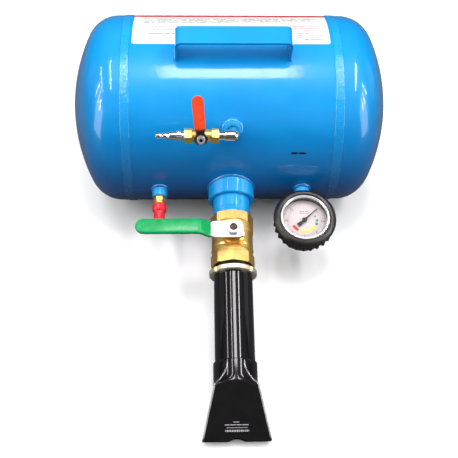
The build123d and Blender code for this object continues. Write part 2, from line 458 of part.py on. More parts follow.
socket = Rot(-90, 0, 0) * (cyl(THREAD_R, 38.5, GAUGE_OUT + 3.0) + box(-7, 7, -7, 7, 33.9, 39.6) + cyl(5.5, 29.9, 35) + cyl(3.6, 26, 31))
socket += box(-5.5, 5.5, 20.0, 27.0, -7.4, 1.6)
socket -= Rot(-90, 0, 0) * cyl(1.6, 27, 70)
nodes["gauge_socket"] = G * socket
# pressure element: flattened tube bent through three quarters of a turn from the socket block
b_path = CenterArc((0, 0), 24.6, 90 - 14.5, -248.5)
b_sec = Plane(origin=b_path @ 0, x_dir=(0, 0, 1), z_dir=b_path % 0) * (Ellipse(3.0, 1.3) - Ellipse(2.5, 0.85))
tube_ = Pos(0, 0, -2.9) * sweep(b_sec, path=b_path)
nodes["gauge_bourdon_tube"] = G * tube_
boot = rev((0, -17.0), (31.0, -17.0), (33.5, -15.6), (36.6, -4.2), (36.9, 5.5), (38.2, 6.4), (39.7, 8.4), (40.4, 11.4), (39.8, 14.4), (37.8, 16.9), (35.4, 18.0), (33.2, 17.8),
           (31.5, 16.5), (31.5, 16.0), (33.1, 15.7), (33.1, 7.9), (31.6, 7.9), (31.6, -14.1), (0, -14.1))
boot -= rev((0, -30), (10, -30), (10, -10), (0, -10))
for k in range(26):
    a = 360.0 / 26 * k + 3.0
    if abs((a - 90 + 180) % 360 - 180) < 18:
        continue
    boot += Rot(0, 0, a) * (Pos(37.0, 0, -3.0) * Cylinder(2.7, 10.5, align=MIN3))
boot -= Rot(-90, 0, 0) * (box(-7.3, 7.3, -7.3, 7.3, 31, 50))
nodes["gauge_boot"] = G * boot

# ---------------------------------------------------------------- lay the assembly down as it rests, origin under the middle of its footprint
LIFT = RO + BEAD_H
arm, drop = RO + SQUARE_AT, SR
REST_TILT = math.degrees(math.asin(LIFT / math.hypot(arm, drop)) - math.atan2(drop, arm))   # degrees, barrel below level
TILT = Rot(REST_TILT, 0, 0)
y_front = -((RO + LIP_AT) * math.cos(math.radians(REST_TILT)) + LIP_HALF_H * math.sin(math.radians(REST_TILT)))
y_back = RO + BEAD_H
Y0 = (y_front + y_back) / 2
REST = Pos(0, -Y0, LIFT) * TILT


def main():
    os.makedirs("parts", exist_ok=True)
    lo = [1e9] * 3
    hi = [-1e9] * 3
    for name, shape in nodes.items():
        items = shape if isinstance(shape, list) else [shape]
        solids = []
        for it in items:
            solids += list((REST * it).solids())
        out = solids[0] if len(solids) == 1 else Compound(children=solids)
        out.label = name
        bb = out.bounding_box()
        for k, (a, b) in enumerate(zip(tuple(bb.min), tuple(bb.max))):
            lo[k], hi[k] = min(lo[k], a), max(hi[k], b)
        export_step(out, f"parts/{name}.step")
    print("nodes", len(nodes), "low", [round(v, 3) for v in lo], "high", [round(v, 3) for v in hi], "shift", round(-Y0, 4), LIFT, "tilt", round(REST_TILT, 5))


main()
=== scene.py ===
"""Looks for the air receiver tank: procedural materials, detailed welds, nozzle, sleeves, label and dial, lights and camera."""
import bpy, bmesh, math, random
from mathutils import Vector, Matrix, noise


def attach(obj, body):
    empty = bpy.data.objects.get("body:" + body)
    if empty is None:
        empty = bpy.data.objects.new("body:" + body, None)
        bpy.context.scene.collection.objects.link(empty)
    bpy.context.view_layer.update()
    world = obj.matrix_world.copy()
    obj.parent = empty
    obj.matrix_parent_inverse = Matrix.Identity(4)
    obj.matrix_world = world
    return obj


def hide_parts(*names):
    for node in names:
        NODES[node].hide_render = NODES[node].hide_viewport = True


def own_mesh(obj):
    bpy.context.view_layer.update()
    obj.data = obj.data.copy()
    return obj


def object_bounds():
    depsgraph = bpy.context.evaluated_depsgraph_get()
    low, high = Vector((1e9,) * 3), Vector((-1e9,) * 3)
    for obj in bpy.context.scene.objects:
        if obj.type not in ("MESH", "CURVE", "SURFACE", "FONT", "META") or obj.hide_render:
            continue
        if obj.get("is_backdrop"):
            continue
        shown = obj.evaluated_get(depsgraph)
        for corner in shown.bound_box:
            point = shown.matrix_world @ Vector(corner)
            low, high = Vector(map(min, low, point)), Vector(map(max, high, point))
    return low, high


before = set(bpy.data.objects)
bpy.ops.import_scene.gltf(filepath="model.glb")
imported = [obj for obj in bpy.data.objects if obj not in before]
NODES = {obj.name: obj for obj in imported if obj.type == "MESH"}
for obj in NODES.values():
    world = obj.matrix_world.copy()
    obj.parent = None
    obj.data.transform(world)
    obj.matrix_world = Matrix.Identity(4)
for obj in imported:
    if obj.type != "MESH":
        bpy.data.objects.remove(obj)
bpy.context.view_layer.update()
random.seed(11)
scene = bpy.context.scene

TILT = math.radians(14.85871)
CT, ST = math.cos(TILT), math.sin(TILT)
RO = 125.0


def D(x, y, z):
    """Design frame in mm to the row frame in m."""
    return Vector((x, y * CT - z * ST + 156.0608, y * ST + z * CT + 126.2)) / 1000


def V(x, w, v):
    """Along the tank, across, and out along the barrel from the tank's skin."""
    return D(x, -(RO + v), w)


# ------------------------------------------------------------------ materials
class Mat:
    def __init__(self, name, **inputs):
        self.m = bpy.data.materials.new(name)
        self.m.use_nodes = True
        self.t = self.m.node_tree
        self.t.nodes.clear()
        self.out = self.t.nodes.new("ShaderNodeOutputMaterial")
        self.b = self.t.nodes.new("ShaderNodeBsdfPrincipled")
        self.t.links.new(self.b.outputs[0], self.out.inputs[0])
        for k, v in inputs.items():
            self.b.inputs[k.replace("_", " ")].default_value = v
        self.co = self.t.nodes.new("ShaderNodeTexCoord")

    def node(self, kind, inputs=None, **props):
        n = self.t.nodes.new(kind)
        for k, v in props.items():
            setattr(n, k, v)
        for k, v in (inputs or {}).items():
            self.put(n.inputs[k], v)
        return n

    def put(self, socket, v):
        if isinstance(v, bpy.types.NodeSocket):
            self.t.links.new(v, socket)
        else:
            socket.default_value = v

    def noise(self, scale, detail=3.0, rough=0.5, vec=None, distortion=0.0):
        n = self.node("ShaderNodeTexNoise")
        n.inputs["Scale"].default_value = scale
        n.inputs["Detail"].default_value = detail
        n.inputs["Roughness"].default_value = rough
        n.inputs["Distortion"].default_value = distortion
        self.t.links.new(vec or self.co.outputs["Object"], n.inputs["Vector"])
        return n.outputs["Fac"]

    def stretched(self, sx, sy, sz, rot=(0, 0, 0)):
        n = self.node("ShaderNodeMapping")
        n.inputs["Scale"].default_value = (sx, sy, sz)
        n.inputs["Rotation"].default_value = rot
        self.t.links.new(self.co.outputs["Object"], n.inputs["Vector"])
        return n.outputs[0]

    def ramp(self, fac, *stops):
        n = self.node("ShaderNodeValToRGB")
        e = n.color_ramp.elements
        while len(e) < len(stops):
            e.new(0.5)
        for i, (p, c) in enumerate(stops):
            e[i].position = p
            e[i].color = (*c, 1.0) if len(c) == 3 else c
        self.t.links.new(fac, n.inputs["Fac"])
        return n.outputs["Color"]

    def range(self, fac, a, b, lo=0.3, hi=0.7):
        n = self.node("ShaderNodeMapRange")
        n.inputs["From Min"].default_value, n.inputs["From Max"].default_value = lo, hi
        n.inputs["To Min"].default_value, n.inputs["To Max"].default_value = a, b
        self.t.links.new(fac, n.inputs["Value"])
        return n.outputs[0]

    def math(self, op, a, b=0.0, clamp=False):
        n = self.node("ShaderNodeMath", operation=op, use_clamp=clamp)
        self.put(n.inputs[0], a)
        self.put(n.inputs[1], b)
        return n.outputs[0]

    def mix(self, fac, a, b, mode="MIX"):
        n = self.node("ShaderNodeMix", data_type="RGBA", blend_type=mode)
        self.put(n.inputs[0], fac)
        self.put(n.inputs[6], a)
        self.put(n.inputs[7], b)
        return n.outputs[2]

    def colour(self, socket):
        self.t.links.new(socket, self.b.inputs["Base Color"])

    def rough(self, socket):
        self.t.links.new(socket, self.b.inputs["Roughness"])

    def bumps(self, *layers, bevel=0.0):
        """layers of (height socket, distance in m, strength); bevel rounds the look of hard edges."""
        last = None
        if bevel:
            n = self.node("ShaderNodeBevel", samples=4)
            n.inputs["Radius"].default_value = bevel
            last = n.outputs[0]
        for h, dist, strength in layers:
            n = self.node("ShaderNodeBump")
            n.inputs["Distance"].default_value = dist
            n.inputs["Strength"].default_value = strength
            self.t.links.new(h, n.inputs["Height"])
            if last:
                self.t.links.new(last, n.inputs["Normal"])
            last = n.outputs[0]
        if last:
            self.t.links.new(last, self.b.inputs["Normal"])
        return last


def rgb(r, g, b):
    """sRGB 0-255 to linear."""
    f = lambda c: (c / 255 / 12.92) if c / 255 <= 0.04045 else ((c / 255 + 0.055) / 1.055) ** 2.4
    return (f(r), f(g), f(b))


def enamel(name, dark, light, peel=0.25, rough=(0.28, 0.4), welded=False, coat=1.0, coat_ior=1.38, spec=0.22, fine_peel=0.12, coat_rough=0.05, low=None):
    m = Mat(name, Coat_Weight=coat, Coat_Roughness=coat_rough, Coat_IOR=coat_ior, Specular_IOR_Level=spec)
    base = m.ramp(m.noise(9, 5, 0.6), (0.35, dark), (0.65, light))
    # painted shade: the paint blends into the darker low colour towards the bottom (fully at 0.045 m height, none above
    # 0.225 m), standing in for the shade on the lower side
    if low:
        height = m.node("ShaderNodeSeparateXYZ")
        m.t.links.new(m.co.outputs["Object"], height.inputs[0])
        base = m.mix(m.range(height.outputs[2], 1.0, 0.0, 0.045, 0.225), base, (*low, 1.0))
    m.colour(base)
    m.rough(m.range(m.noise(45, 4), *rough))
    layers = [(m.noise(14, 2), 0.004, 0.05), (m.noise(420, 2, 0.4), 0.0004, peel)]
    if welded:
        layers = [(m.noise(150, 4, 0.6), 0.0012, 0.5), (m.noise(700, 2), 0.0004, 0.5)]
    n = m.bumps(*layers, bevel=0.0 if welded else 0.0006)
    fine = m.node("ShaderNodeBump")
    fine.inputs["Distance"].default_value, fine.inputs["Strength"].default_value = 0.0004, fine_peel if not welded else 0.4
    m.t.links.new(m.noise(260, 2, 0.4), fine.inputs["Height"])
    m.t.links.new(n, fine.inputs["Normal"])
    m.t.links.new(fine.outputs[0], m.b.inputs["Coat Normal"])
    return m.m


def metal(name, dark, light, rough=(0.2, 0.34), grain=(40, 400, 40), bump=0.12, cast=0.0, bevel=0.0004, spots=None, metallic=1.0):
    """Turned or cast metal: grain stretches fine lines, cast adds a sand texture, spots tarnish it."""
    m = Mat(name, Metallic=metallic)
    base = m.ramp(m.noise(70, 5, 0.65), (0.3, dark), (0.7, light))
    if spots:
        mask = m.range(m.noise(160, 4, 0.6), 0.0, 0.55, 0.62, 0.85)
        base = m.mix(mask, base, (*spots, 1.0))
    m.colour(base)
    lines = m.noise(6, 3, 0.6, vec=m.stretched(*grain))
    m.rough(m.range(m.math("ADD", m.math("MULTIPLY", lines, 0.6), m.math("MULTIPLY", m.noise(120, 3), 0.4)), *rough))
    layers = [(lines, 0.0001, bump)]
    if cast:
        layers.append((m.noise(900, 3, 0.6), 0.0005, cast))
    m.bumps(*layers, bevel=bevel)
    return m.m


def plastic(name, dark, light, rough=(0.25, 0.4), bump=0.15, scale=500, coat=0.0, sub=0.0, bevel=0.0004, spec=0.4, wave=0.0, coat_ior=1.4):
    m = Mat(name, Coat_Weight=coat, Coat_Roughness=0.06, Specular_IOR_Level=spec, Coat_IOR=coat_ior)
    if sub:
        m.b.inputs["Subsurface Weight"].default_value = sub
        m.b.inputs["Subsurface Radius"].default_value = (0.002, 0.001, 0.0005)
    m.colour(m.ramp(m.noise(60, 4, 0.6), (0.3, dark), (0.7, light)))
    m.rough(m.range(m.noise(130, 4), *rough))
    layers = [(m.noise(scale, 3, 0.5), 0.0003, bump)]
    if wave:
        layers.insert(0, (m.noise(55, 2), 0.002, wave))
    m.bumps(*layers, bevel=bevel)
    return m.m


# the third blue is the darker colour painted onto the lower tank as shade
BLUE_D, BLUE_L, BLUE_PAINTED_SHADE = (0.0006, 0.255, 0.63), (0.0016, 0.295, 0.69), (0.0004, 0.062, 0.29)
M = {
    "tank_paint": enamel("blue_enamel", BLUE_D, BLUE_L, low=BLUE_PAINTED_SHADE, peel=0.15, fine_peel=0.07),
    "bung_paint": enamel("blue_enamel_bungs", (0.003, 0.29, 0.68), (0.006, 0.34, 0.76), peel=0.25, fine_peel=0.1, coat_ior=1.5),
    # weld enamel: a lighter blue than the tank's as a painted highlight on the beads, and darker towards the bottom as
    # painted shade
    "weld_paint": enamel("blue_enamel_welds_painted_light", (0.002, 0.285, 0.68), (0.006, 0.35, 0.78), welded=True, rough=(0.2, 0.4), low=(0.0004, 0.066, 0.30), coat_ior=1.6),
    "valve_brass": metal("forged_brass", (0.86, 0.50, 0.13), (0.98, 0.70, 0.25), (0.30, 0.40), cast=0.02, bump=0.02, grain=(40, 400, 40), spots=(0.74, 0.42, 0.12), metallic=0.9),
    "gland_brass": metal("turned_brass", (0.88, 0.58, 0.18), (0.97, 0.74, 0.33), (0.20, 0.32), grain=(30, 30, 900), metallic=0.92),
    "zinc_yellow": metal("yellow_zinc", (0.86, 0.70, 0.42), (0.95, 0.88, 0.68), (0.26, 0.40), spots=(0.70, 0.46, 0.26), metallic=0.75),
    "zinc_bright": metal("bright_zinc", (0.56, 0.56, 0.59), (0.70, 0.70, 0.71), (0.36, 0.52), grain=(400, 60, 60), bump=0.1, spots=(0.52, 0.46, 0.44), metallic=0.9),
    "lever_black": metal("dark_plated_steel", (0.07, 0.05, 0.035), (0.16, 0.12, 0.09), (0.25, 0.4)),
    "steel_nickel": metal("nickel_plate", (0.74, 0.66, 0.58), (0.88, 0.84, 0.80), (0.10, 0.22), cast=0.05),
    "plug_chrome": metal("chrome_plate", (0.80, 0.79, 0.80), (0.92, 0.92, 0.93), (0.05, 0.14), grain=(900, 30, 30), bump=0.06),
    "ball_chrome": metal("chrome_ball", (0.82, 0.82, 0.83), (0.92, 0.92, 0.93), (0.03, 0.08), bump=0.02),
    # dark oxide steel, darkened further as painted shade so the recessed stem end under the lever nut reads as a dark
    # hollow
    "stem_steel": metal("dark_stem_steel_and_recess_shade", (0.016, 0.012, 0.010), (0.050, 0.038, 0.030), (0.30, 0.45), grain=(60, 60, 900)),
    "ptfe": plastic("ptfe_white", (0.78, 0.78, 0.76), (0.86, 0.86, 0.85), (0.35, 0.5), sub=0.2),
    "sleeve_green": plastic("green_vinyl_dip", rgb(0, 138, 72), rgb(8, 160, 88), (0.20, 0.34), bump=0.10, scale=260, coat=0.5, wave=0.12, bevel=0.0, spec=0.2, coat_ior=1.3),
    "sleeve_red": plastic("red_vinyl_dip", rgb(214, 58, 22), rgb(232, 78, 40), (0.24, 0.38), bump=0.12, scale=300, coat=0.4, wave=0.10, bevel=0.0, spec=0.25, coat_ior=1.3),
    "cap_red": plastic("red_cap", rgb(205, 14, 34), rgb(232, 30, 52), (0.22, 0.36), bump=0.10, coat=0.4, bevel=0.0003),
    "spring_steel": metal("spring_wire", (0.45, 0.44, 0.43), (0.62, 0.61, 0.60), (0.25, 0.38)),
    "seal_rubber": plastic("seal_rubber", (0.012, 0.012, 0.013), (0.022, 0.022, 0.024), (0.5, 0.7)),
    "boot_rubber": plastic("boot_rubber", (0.007, 0.006, 0.0055), (0.018, 0.014, 0.012), (0.26, 0.42), bump=0.14, scale=800, wave=0.08, bevel=0.0007, spec=0.55),
    "barrel_black": enamel("black_enamel", (0.0022, 0.0021, 0.0026), (0.0040, 0.0036, 0.0042), peel=0.03, rough=(0.3, 0.4), coat_ior=1.45, spec=0.04, fine_peel=0.025, coat_rough=0.02),
    "nozzle_black": plastic("black_moulding", (0.0024, 0.0023, 0.0027), (0.0046, 0.0043, 0.0048), (0.28, 0.42), bump=0.05, scale=380, coat=1.0, wave=0.03, bevel=0.0, spec=0.05, coat_ior=1.42),
    "case_steel": metal("gauge_case_steel", (0.20, 0.20, 0.21), (0.34, 0.34, 0.35), (0.24, 0.36), grain=(60, 60, 900)),
    "bezel_white": metal("polished_bezel", (0.90, 0.89, 0.90), (0.98, 0.98, 0.98), (0.16, 0.28), bump=0.04, metallic=0.55),
    "dial_face": plastic("dial_enamel", rgb(203, 190, 189), rgb(217, 205, 203), (0.35, 0.5), bump=0.05, scale=900, bevel=0.0),
    "pointer_black": plastic("pointer_black", (0.008, 0.008, 0.008), (0.016, 0.016, 0.016), (0.35, 0.5), bevel=0.0),
    "label_film": plastic("label_film", (0.80, 0.80, 0.79), (0.86, 0.86, 0.85), (0.2, 0.32), bump=0.05, bevel=0.0),
}

# clear lens: light passes, and the surface reflects by its angle
lens = bpy.data.materials.new("gauge_lens_clear")
lens.use_nodes = True
nt = lens.node_tree
nt.nodes.clear()
o_, mx, tr, gl, fr = (nt.nodes.new("ShaderNode" + k) for k in ("OutputMaterial", "MixShader", "BsdfTransparent", "BsdfGlossy", "Fresnel"))
tx, nz, rr_ = nt.nodes.new("ShaderNodeTexCoord"), nt.nodes.new("ShaderNodeTexNoise"), nt.nodes.new("ShaderNodeMapRange")
tr.inputs[0].default_value = (0.97, 0.975, 0.98, 1)
fr.inputs["IOR"].default_value = 1.5
nz.inputs["Scale"].default_value = 90
rr_.inputs["To Min"].default_value, rr_.inputs["To Max"].default_value = 0.015, 0.05
nt.links.new(tx.outputs["Object"], nz.inputs["Vector"])
nt.links.new(nz.outputs["Fac"], rr_.inputs["Value"])
nt.links.new(rr_.outputs[0], gl.inputs["Roughness"])
gm, fm_ = nt.nodes.new("ShaderNodeNewGeometry"), nt.nodes.new("ShaderNodeMath")
fm_.operation = "MULTIPLY"
om_ = nt.nodes.new("ShaderNodeMath")
om_.operation = "SUBTRACT"
om_.inputs[0].default_value = 1.0
nt.links.new(gm.outputs["Backfacing"], om_.inputs[1])
nt.links.new(fr.outputs[0], fm_.inputs[0])
nt.links.new(om_.outputs[0], fm_.inputs[1])
nt.links.new(fm_.outputs[0], mx.inputs[0])
nt.links.new(tr.outputs[0], mx.inputs[1])
nt.links.new(gl.outputs[0], mx.inputs[2])
nt.links.new(mx.outputs[0], o_.inputs[0])
M["lens_clear"] = lens

for name, o in NODES.items():
    key = o.material_slots[0].material.name.split(".")[0]
    o.material_slots[0].material = M[key]


# ------------------------------------------------------------------ mesh tools
def piece(name, verts, faces, material, body="tank", replaces=(), smooth=True, sharp=None):
    me = bpy.data.meshes.new(name)
    me.from_pydata([tuple(v) for v in verts], [], faces)
    me.validate()
    bm = bmesh.new()
    bm.from_mesh(me)
    bmesh.ops.recalc_face_normals(bm, faces=bm.faces)
    bm.to_mesh(me)
    bm.free()
    for p in me.polygons:
        p.use_smooth = smooth
    if sharp:
        me.set_sharp_from_angle(angle=math.radians(sharp))
    ob = bpy.data.objects.new(name, me)
    scene.collection.objects.link(ob)
    me.materials.append(material)
    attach(ob, body)
    if replaces:
        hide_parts(*replaces)
    return ob


def grid_faces(rows, cols, base=0, wrap_cols=True, wrap_rows=False):
    f = []
    for i in range(rows if wrap_rows else rows - 1):
        for j in range(cols if wrap_cols else cols - 1):
            a, b = base + i * cols + j, base + i * cols + (j + 1) % cols
            c, d = base + ((i + 1) % rows) * cols + (j + 1) % cols, base + ((i + 1) % rows) * cols + j
            f.append((a, b, c, d))
    return f


def fbm(x, y, z=0.0, s=1.0):
    return noise.noise(Vector((x * s, y * s, z * s)))


# ------------------------------------------------------------------ girth welds: laid bead with ripples and toes
verts, faces = [], []
for side in (-1, 1):
    ring_n, cols = 840, 25
    base = len(verts)
    for i in range(ring_n):
        a = 2 * math.pi * i / ring_n
        wob = 0.55 * fbm(math.cos(a) * 9, math.sin(a) * 9, side * 5)
        for j in range(cols):
            u = math.sin(math.pi * (-0.5 + j / (cols - 1)))
            x = side * 133.5 + u * (5.9 + 0.25 * fbm(math.cos(a) * 22, math.sin(a) * 22, u + side)) + wob * (1 - abs(u)) * 0.6
            crown = 0.84 * (1 - abs(u) ** 9) + 0.22 * math.exp(-((abs(u) - 0.84) / 0.08) ** 2)
            step = a * RO / 3.4 + 0.9 * (1 - u * u)
            ripple = 0.11 * (1 - u ** 6) * math.sin(2 * math.pi * step)
            r = RO - 0.05 + crown + ripple + 0.10 * fbm(a * 60, u * 3, side) * (1 - u * u)
            r = min(r, RO + 1.17)
            verts.append(D(x, -r * math.cos(a), r * math.sin(a)))
    # sunk underside closes the bead
    for i in range(ring_n):
        a = 2 * math.pi * i / ring_n
        r = RO - 0.6
        verts.append(D(side * 133.5 + 5.6, -r * math.cos(a), r * math.sin(a)))
        verts.append(D(side * 133.5 - 5.6, -r * math.cos(a), r * math.sin(a)))
    faces += grid_faces(ring_n, cols, base, wrap_cols=False, wrap_rows=True)
    under = base + ring_n * cols
    for i in range(ring_n):
        k = (i + 1) % ring_n
        faces.append((base + i * cols + cols - 1, base + k * cols + cols - 1, under + 2 * k, under + 2 * i))
        faces.append((under + 2 * i, under + 2 * k, under + 2 * k + 1, under + 2 * i + 1))
        faces.append((under + 2 * i + 1, under + 2 * k + 1, base + k * cols, base + i * cols))
piece("girth_welds_detailed", verts, faces, M["weld_paint"], replaces=("girth_weld_beads",))

# straight seam weld low on the back
verts, faces = [], []
rows, cols = 420, 11
for i in range(rows):
    x = -127.2 + 254.4 * i / (rows - 1)
    for j in range(cols):
        u = -1 + 2 * j / (cols - 1)
        a = math.radians(215.0) + (u * 4.0 + 0.25 * fbm(x * 0.09, u, 3)) / RO
        h = 0.78 * (1 - abs(u) ** 2.6) + 0.09 * (1 - u ** 4) * math.sin(2 * math.pi * (x / 2.8 + 0.7 * (1 - u * u))) - 0.05
        r = RO + h * min(1.0, (127.2 - abs(x)) / 2.0 + 0.1)
        verts.append(D(x, -r * math.cos(a), r * math.sin(a)))
for i in range(rows):
    x = -127.2 + 254.4 * i / (rows - 1)
    for u in (1, -1):
        a = math.radians(215.0) + u * 3.7 / RO
        r = RO - 0.5
        verts.append(D(x, -r * math.cos(a), r * math.sin(a)))
faces = grid_faces(rows, cols, 0, wrap_cols=False)
under = rows * cols
for i in range(rows - 1):
    faces.append((i * cols + cols - 1, (i + 1) * cols + cols - 1, under + 2 * (i + 1), under + 2 * i))
    faces.append((under + 2 * i, under + 2 * i + 2, under + 2 * i + 3, under + 2 * i + 1))
    faces.append((under + 2 * i + 1, under + 2 * i + 3, (i + 1) * cols, i * cols))
for i in (0, rows - 1):
    faces.append(tuple(range(i * cols, i * cols + cols)) + (under + 2 * i, under + 2 * i + 1))
piece("seam_weld_detailed", verts, faces, M["weld_paint"], replaces=("shell_seam_weld",))

# ------------------------------------------------------------------ welds round the bungs: a rippled bead on the saddle line
verts, faces = [], []


def ring_weld(angle, x0, r, leg_h, leg_v, pitch, base_off=0.0, up_shift=0.0):
    """A bead round a bung of radius r whose axis leaves the tank at angle (deg from the barrel side)."""
    global verts, faces
    t = math.radians(angle)
    ring_n, cols = int(2 * math.pi * r / 0.55), 9
    base = len(verts)
    for i in range(ring_n):
        p = 2 * math.pi * i / ring_n
        step = p * r / pitch
        for j in range(cols):
            ph = math.radians(-35 + 160 * j / (cols - 1))
            rip = 1 + 0.07 * math.sin(2 * math.pi * (step + 0.35 * math.sin(ph))) + 0.10 * fbm(math.cos(p) * 4 + x0, math.sin(p) * 4, r)
            a = (r - 0.3 + leg_h * rip * math.cos(ph))
            ax, b = a * math.cos(p), a * math.sin(p)
            rise = math.sqrt(RO ** 2 - min(abs(b), 124) ** 2) + leg_v * rip * math.sin(ph) + up_shift
            # local b runs across, rise runs out; turn the pair to the bung's angle
            y = -(rise * math.cos(t)) + b * math.sin(t)
            z = rise * math.sin(t) + b * math.cos(t)
            verts.append(D(x0 + ax, y, z))
    faces += grid_faces(ring_n, cols, base, wrap_cols=True, wrap_rows=True)


ring_weld(0, 0.0, 30.0, 2.2, 2.4, 2.6)
ring_weld(0, -93.7, 10.0, 2.6, 2.8, 2.1)
ring_weld(0, 93.6, 10.0, 2.6, 2.8, 2.1)
ring_weld(45, 0.0, 10.8, 3.4, 2.9, 2.2)
piece("bung_welds_detailed", verts, faces, M["weld_paint"], replaces=("bung_weld_fillets",))

# handle welds: one lumpy bead along the outer side of each foot
verts, faces = [], []
for hx, s in ((-70.0, -1), (73.0, 1)):
    rows, cols = 56, 12
    base = len(verts)
    for i in range(rows):
        y = -13.2 + 26.4 * i / (rows - 1)
        end = min(1.0, (13.4 - abs(y)) / 1.6) ** 0.5
        lump = 1 + 0.10 * math.sin(2 * math.pi * y / 2.4) + 0.16 * fbm(y * 0.35, hx)
        cz = math.sqrt(RO ** 2 - y * y)
        for j in range(cols):
            ph = 2 * math.pi * j / cols
            px = hx + s * (0.4 + (2.7 * lump * end) * max(math.cos(ph), -0.25))
            pz = cz + (2.3 * lump * end) * max(math.sin(ph), -0.3)
            verts.append(D(px, y, pz))
    faces += grid_faces(rows, cols, base)
    faces.append(tuple(range(base, base + cols)))
    faces.append(tuple(range(base + (rows - 1) * cols, base + rows * cols)))
piece("handle_welds_detailed", verts, faces, M["weld_paint"], replaces=("handle_weld_beads",))

# spatter: small paint-covered droplets beside the welds
verts, faces = [], []


def droplet(at, normal, r):
    global verts, faces
    n = normal.normalized()
    t = n.orthogonal().normalized()
    b = n.cross(t)
    base = len(verts)
    for h, k in ((-0.25, 1.0), (0.28, 0.86), (0.62, 0.45)):
        for i in range(8):
            a = 2 * math.pi * i / 8
            verts.append(at + (t * math.cos(a) + b * math.sin(a)) * r * k + n * r * h)
    verts.append(at + n * r * 0.74)
    faces += grid_faces(3, 8, base)
    faces += [(base + 16 + i, base + 16 + (i + 1) % 8, base + 24) for i in range(8)]
    faces.append(tuple(range(base, base + 8)))


for side in (-1, 1):
    for _ in range(120):
        a = random.uniform(0, 2 * math.pi)
        off = random.choice((-1, 1)) * (6.4 + abs(random.gauss(0, 3.4)))
        x = side * 133.5 + off
        if abs(x) > 147 or abs(x) < 126.5 and math.radians(92) < a < math.radians(170):
            continue
        droplet(D(x, -RO * math.cos(a), RO * math.sin(a)), D(x, -math.cos(a) * 2, math.sin(a) * 2) - D(x, 0, 0), random.uniform(0.22, 0.62) / 1000)
for x0, rr0, count in ((0, 33, 26), (-93.7, 14, 14), (93.6, 14, 12)):
    for _ in range(count):
        p, q = random.uniform(0, 2 * math.pi), rr0 + abs(random.gauss(0, 3))
        x, w = x0 + q * math.cos(p), q * math.sin(p)
        a = math.asin(w / RO)
        droplet(D(x, -RO * math.cos(a), RO * math.sin(a)), D(x, -math.cos(a) * 2, math.sin(a) * 2) - D(x, 0, 0), random.uniform(0.2, 0.5) / 1000)
for k in range(34):
    x, a = random.gauss(44, 9), math.radians(random.gauss(64, 3.2))
    droplet(D(x, -RO * math.cos(a), RO * math.sin(a)), D(x, -math.cos(a) * 2, math.sin(a) * 2) - D(x, 0, 0), random.uniform(0.2, 0.45) / 1000)
piece("weld_spatter", verts, faces, M["weld_paint"])

# ------------------------------------------------------------------ nozzle: round socket pressed into a flat fan
LIP_AT, SLEEVE_AT, FLAT_AT = 327.0, 236.0, 268.0
SR = 26.3


def arc(p, q, sag, n):
    """n points from p towards q on a circular arc bulging by sag to the left of p->q (q left out)."""
    (x0, y0), (x1, y1) = p, q
    c = math.hypot(x1 - x0, y1 - y0)
    out = []
    nx, ny = (y1 - y0) / c, -(x1 - x0) / c
    if abs(sag) < 1e-4:
        return [(x0 + (x1 - x0) * k / n, y0 + (y1 - y0) * k / n) for k in range(n)]
    R = (c * c / 4 + sag * sag) / (2 * sag)
    mx_, my_ = (x0 + x1) / 2, (y0 + y1) / 2
    cx, cy = mx_ + nx * (sag - R), my_ + ny * (sag - R)
    R = abs(R)
    a0 = math.atan2(y0 - cy, x0 - cx)
    a1 = math.atan2(y1 - cy, x1 - cx)
    d = a1 - a0
    while d > math.pi:
        d -= 2 * math.pi
    while d < -math.pi:
        d += 2 * math.pi
    return [(cx + R * math.cos(a0 + d * k / n), cy + R * math.sin(a0 + d * k / n)) for k in range(n)]


NT, NS = 36, 20      # points across the top and bottom, and up each side


def nozzle_section(v, wall=0.0, r0=SR):
    """Closed outline at a station, starting at the upper left crease: top, right, bottom, left."""
    R = r0 - wall
    if v <= SLEEVE_AT + 5:
        t = 0.0
    else:
        t = min(1.0, (v - SLEEVE_AT - 5) / (FLAT_AT - SLEEVE_AT - 5))
    if v <= FLAT_AT:
        e = t ** 2.2
        xc = 10.0 + (R - 0.15 - 10.0) * e
        q = max(0.0, min(1.0, (t - 0.60) / 0.40))
        q = q * q * (3 - 2 * q)
        st = (R - math.sqrt(R * R - xc * xc)) * (1 - q) + 1.5 * q
        wc = R - st
        ss = max(R - xc, 0.0)
    else:
        k = (v - FLAT_AT) / (LIP_AT - FLAT_AT)
        xc = (SR - 0.15) + (40.0 - SR + 0.15) * k - wall
        st = 1.5 * (1 - k) - 0.5 * math.sin(math.pi * k)
        wc = SR + (5.6 - SR) * k - wall - 1.5 * (1 - k)
        ss = 0.0
    pts = arc((-xc, wc), (xc, wc), -st, NT) + arc((xc, wc), (xc, -wc), -ss, NS) + arc((xc, -wc), (-xc, -wc), -st, NT) + arc((-xc, -wc), (-xc, wc), -ss, NS)
    return pts


def notch(x):
    return max(0.0, math.sqrt(max(0.0, 16.7 ** 2 - x * x)) - 13.9)


def bow(x):
    return 5.0 * max(0.0, 1 - (x / 26.0) ** 2)


# sign of the bulge: the outline must stay outside its chord
test = nozzle_section(SLEEVE_AT)
if max(p[1] for p in test) < SR - 0.2:
    _arc = arc
    arc = lambda p, q, s, n: _arc(p, q, -s, n)

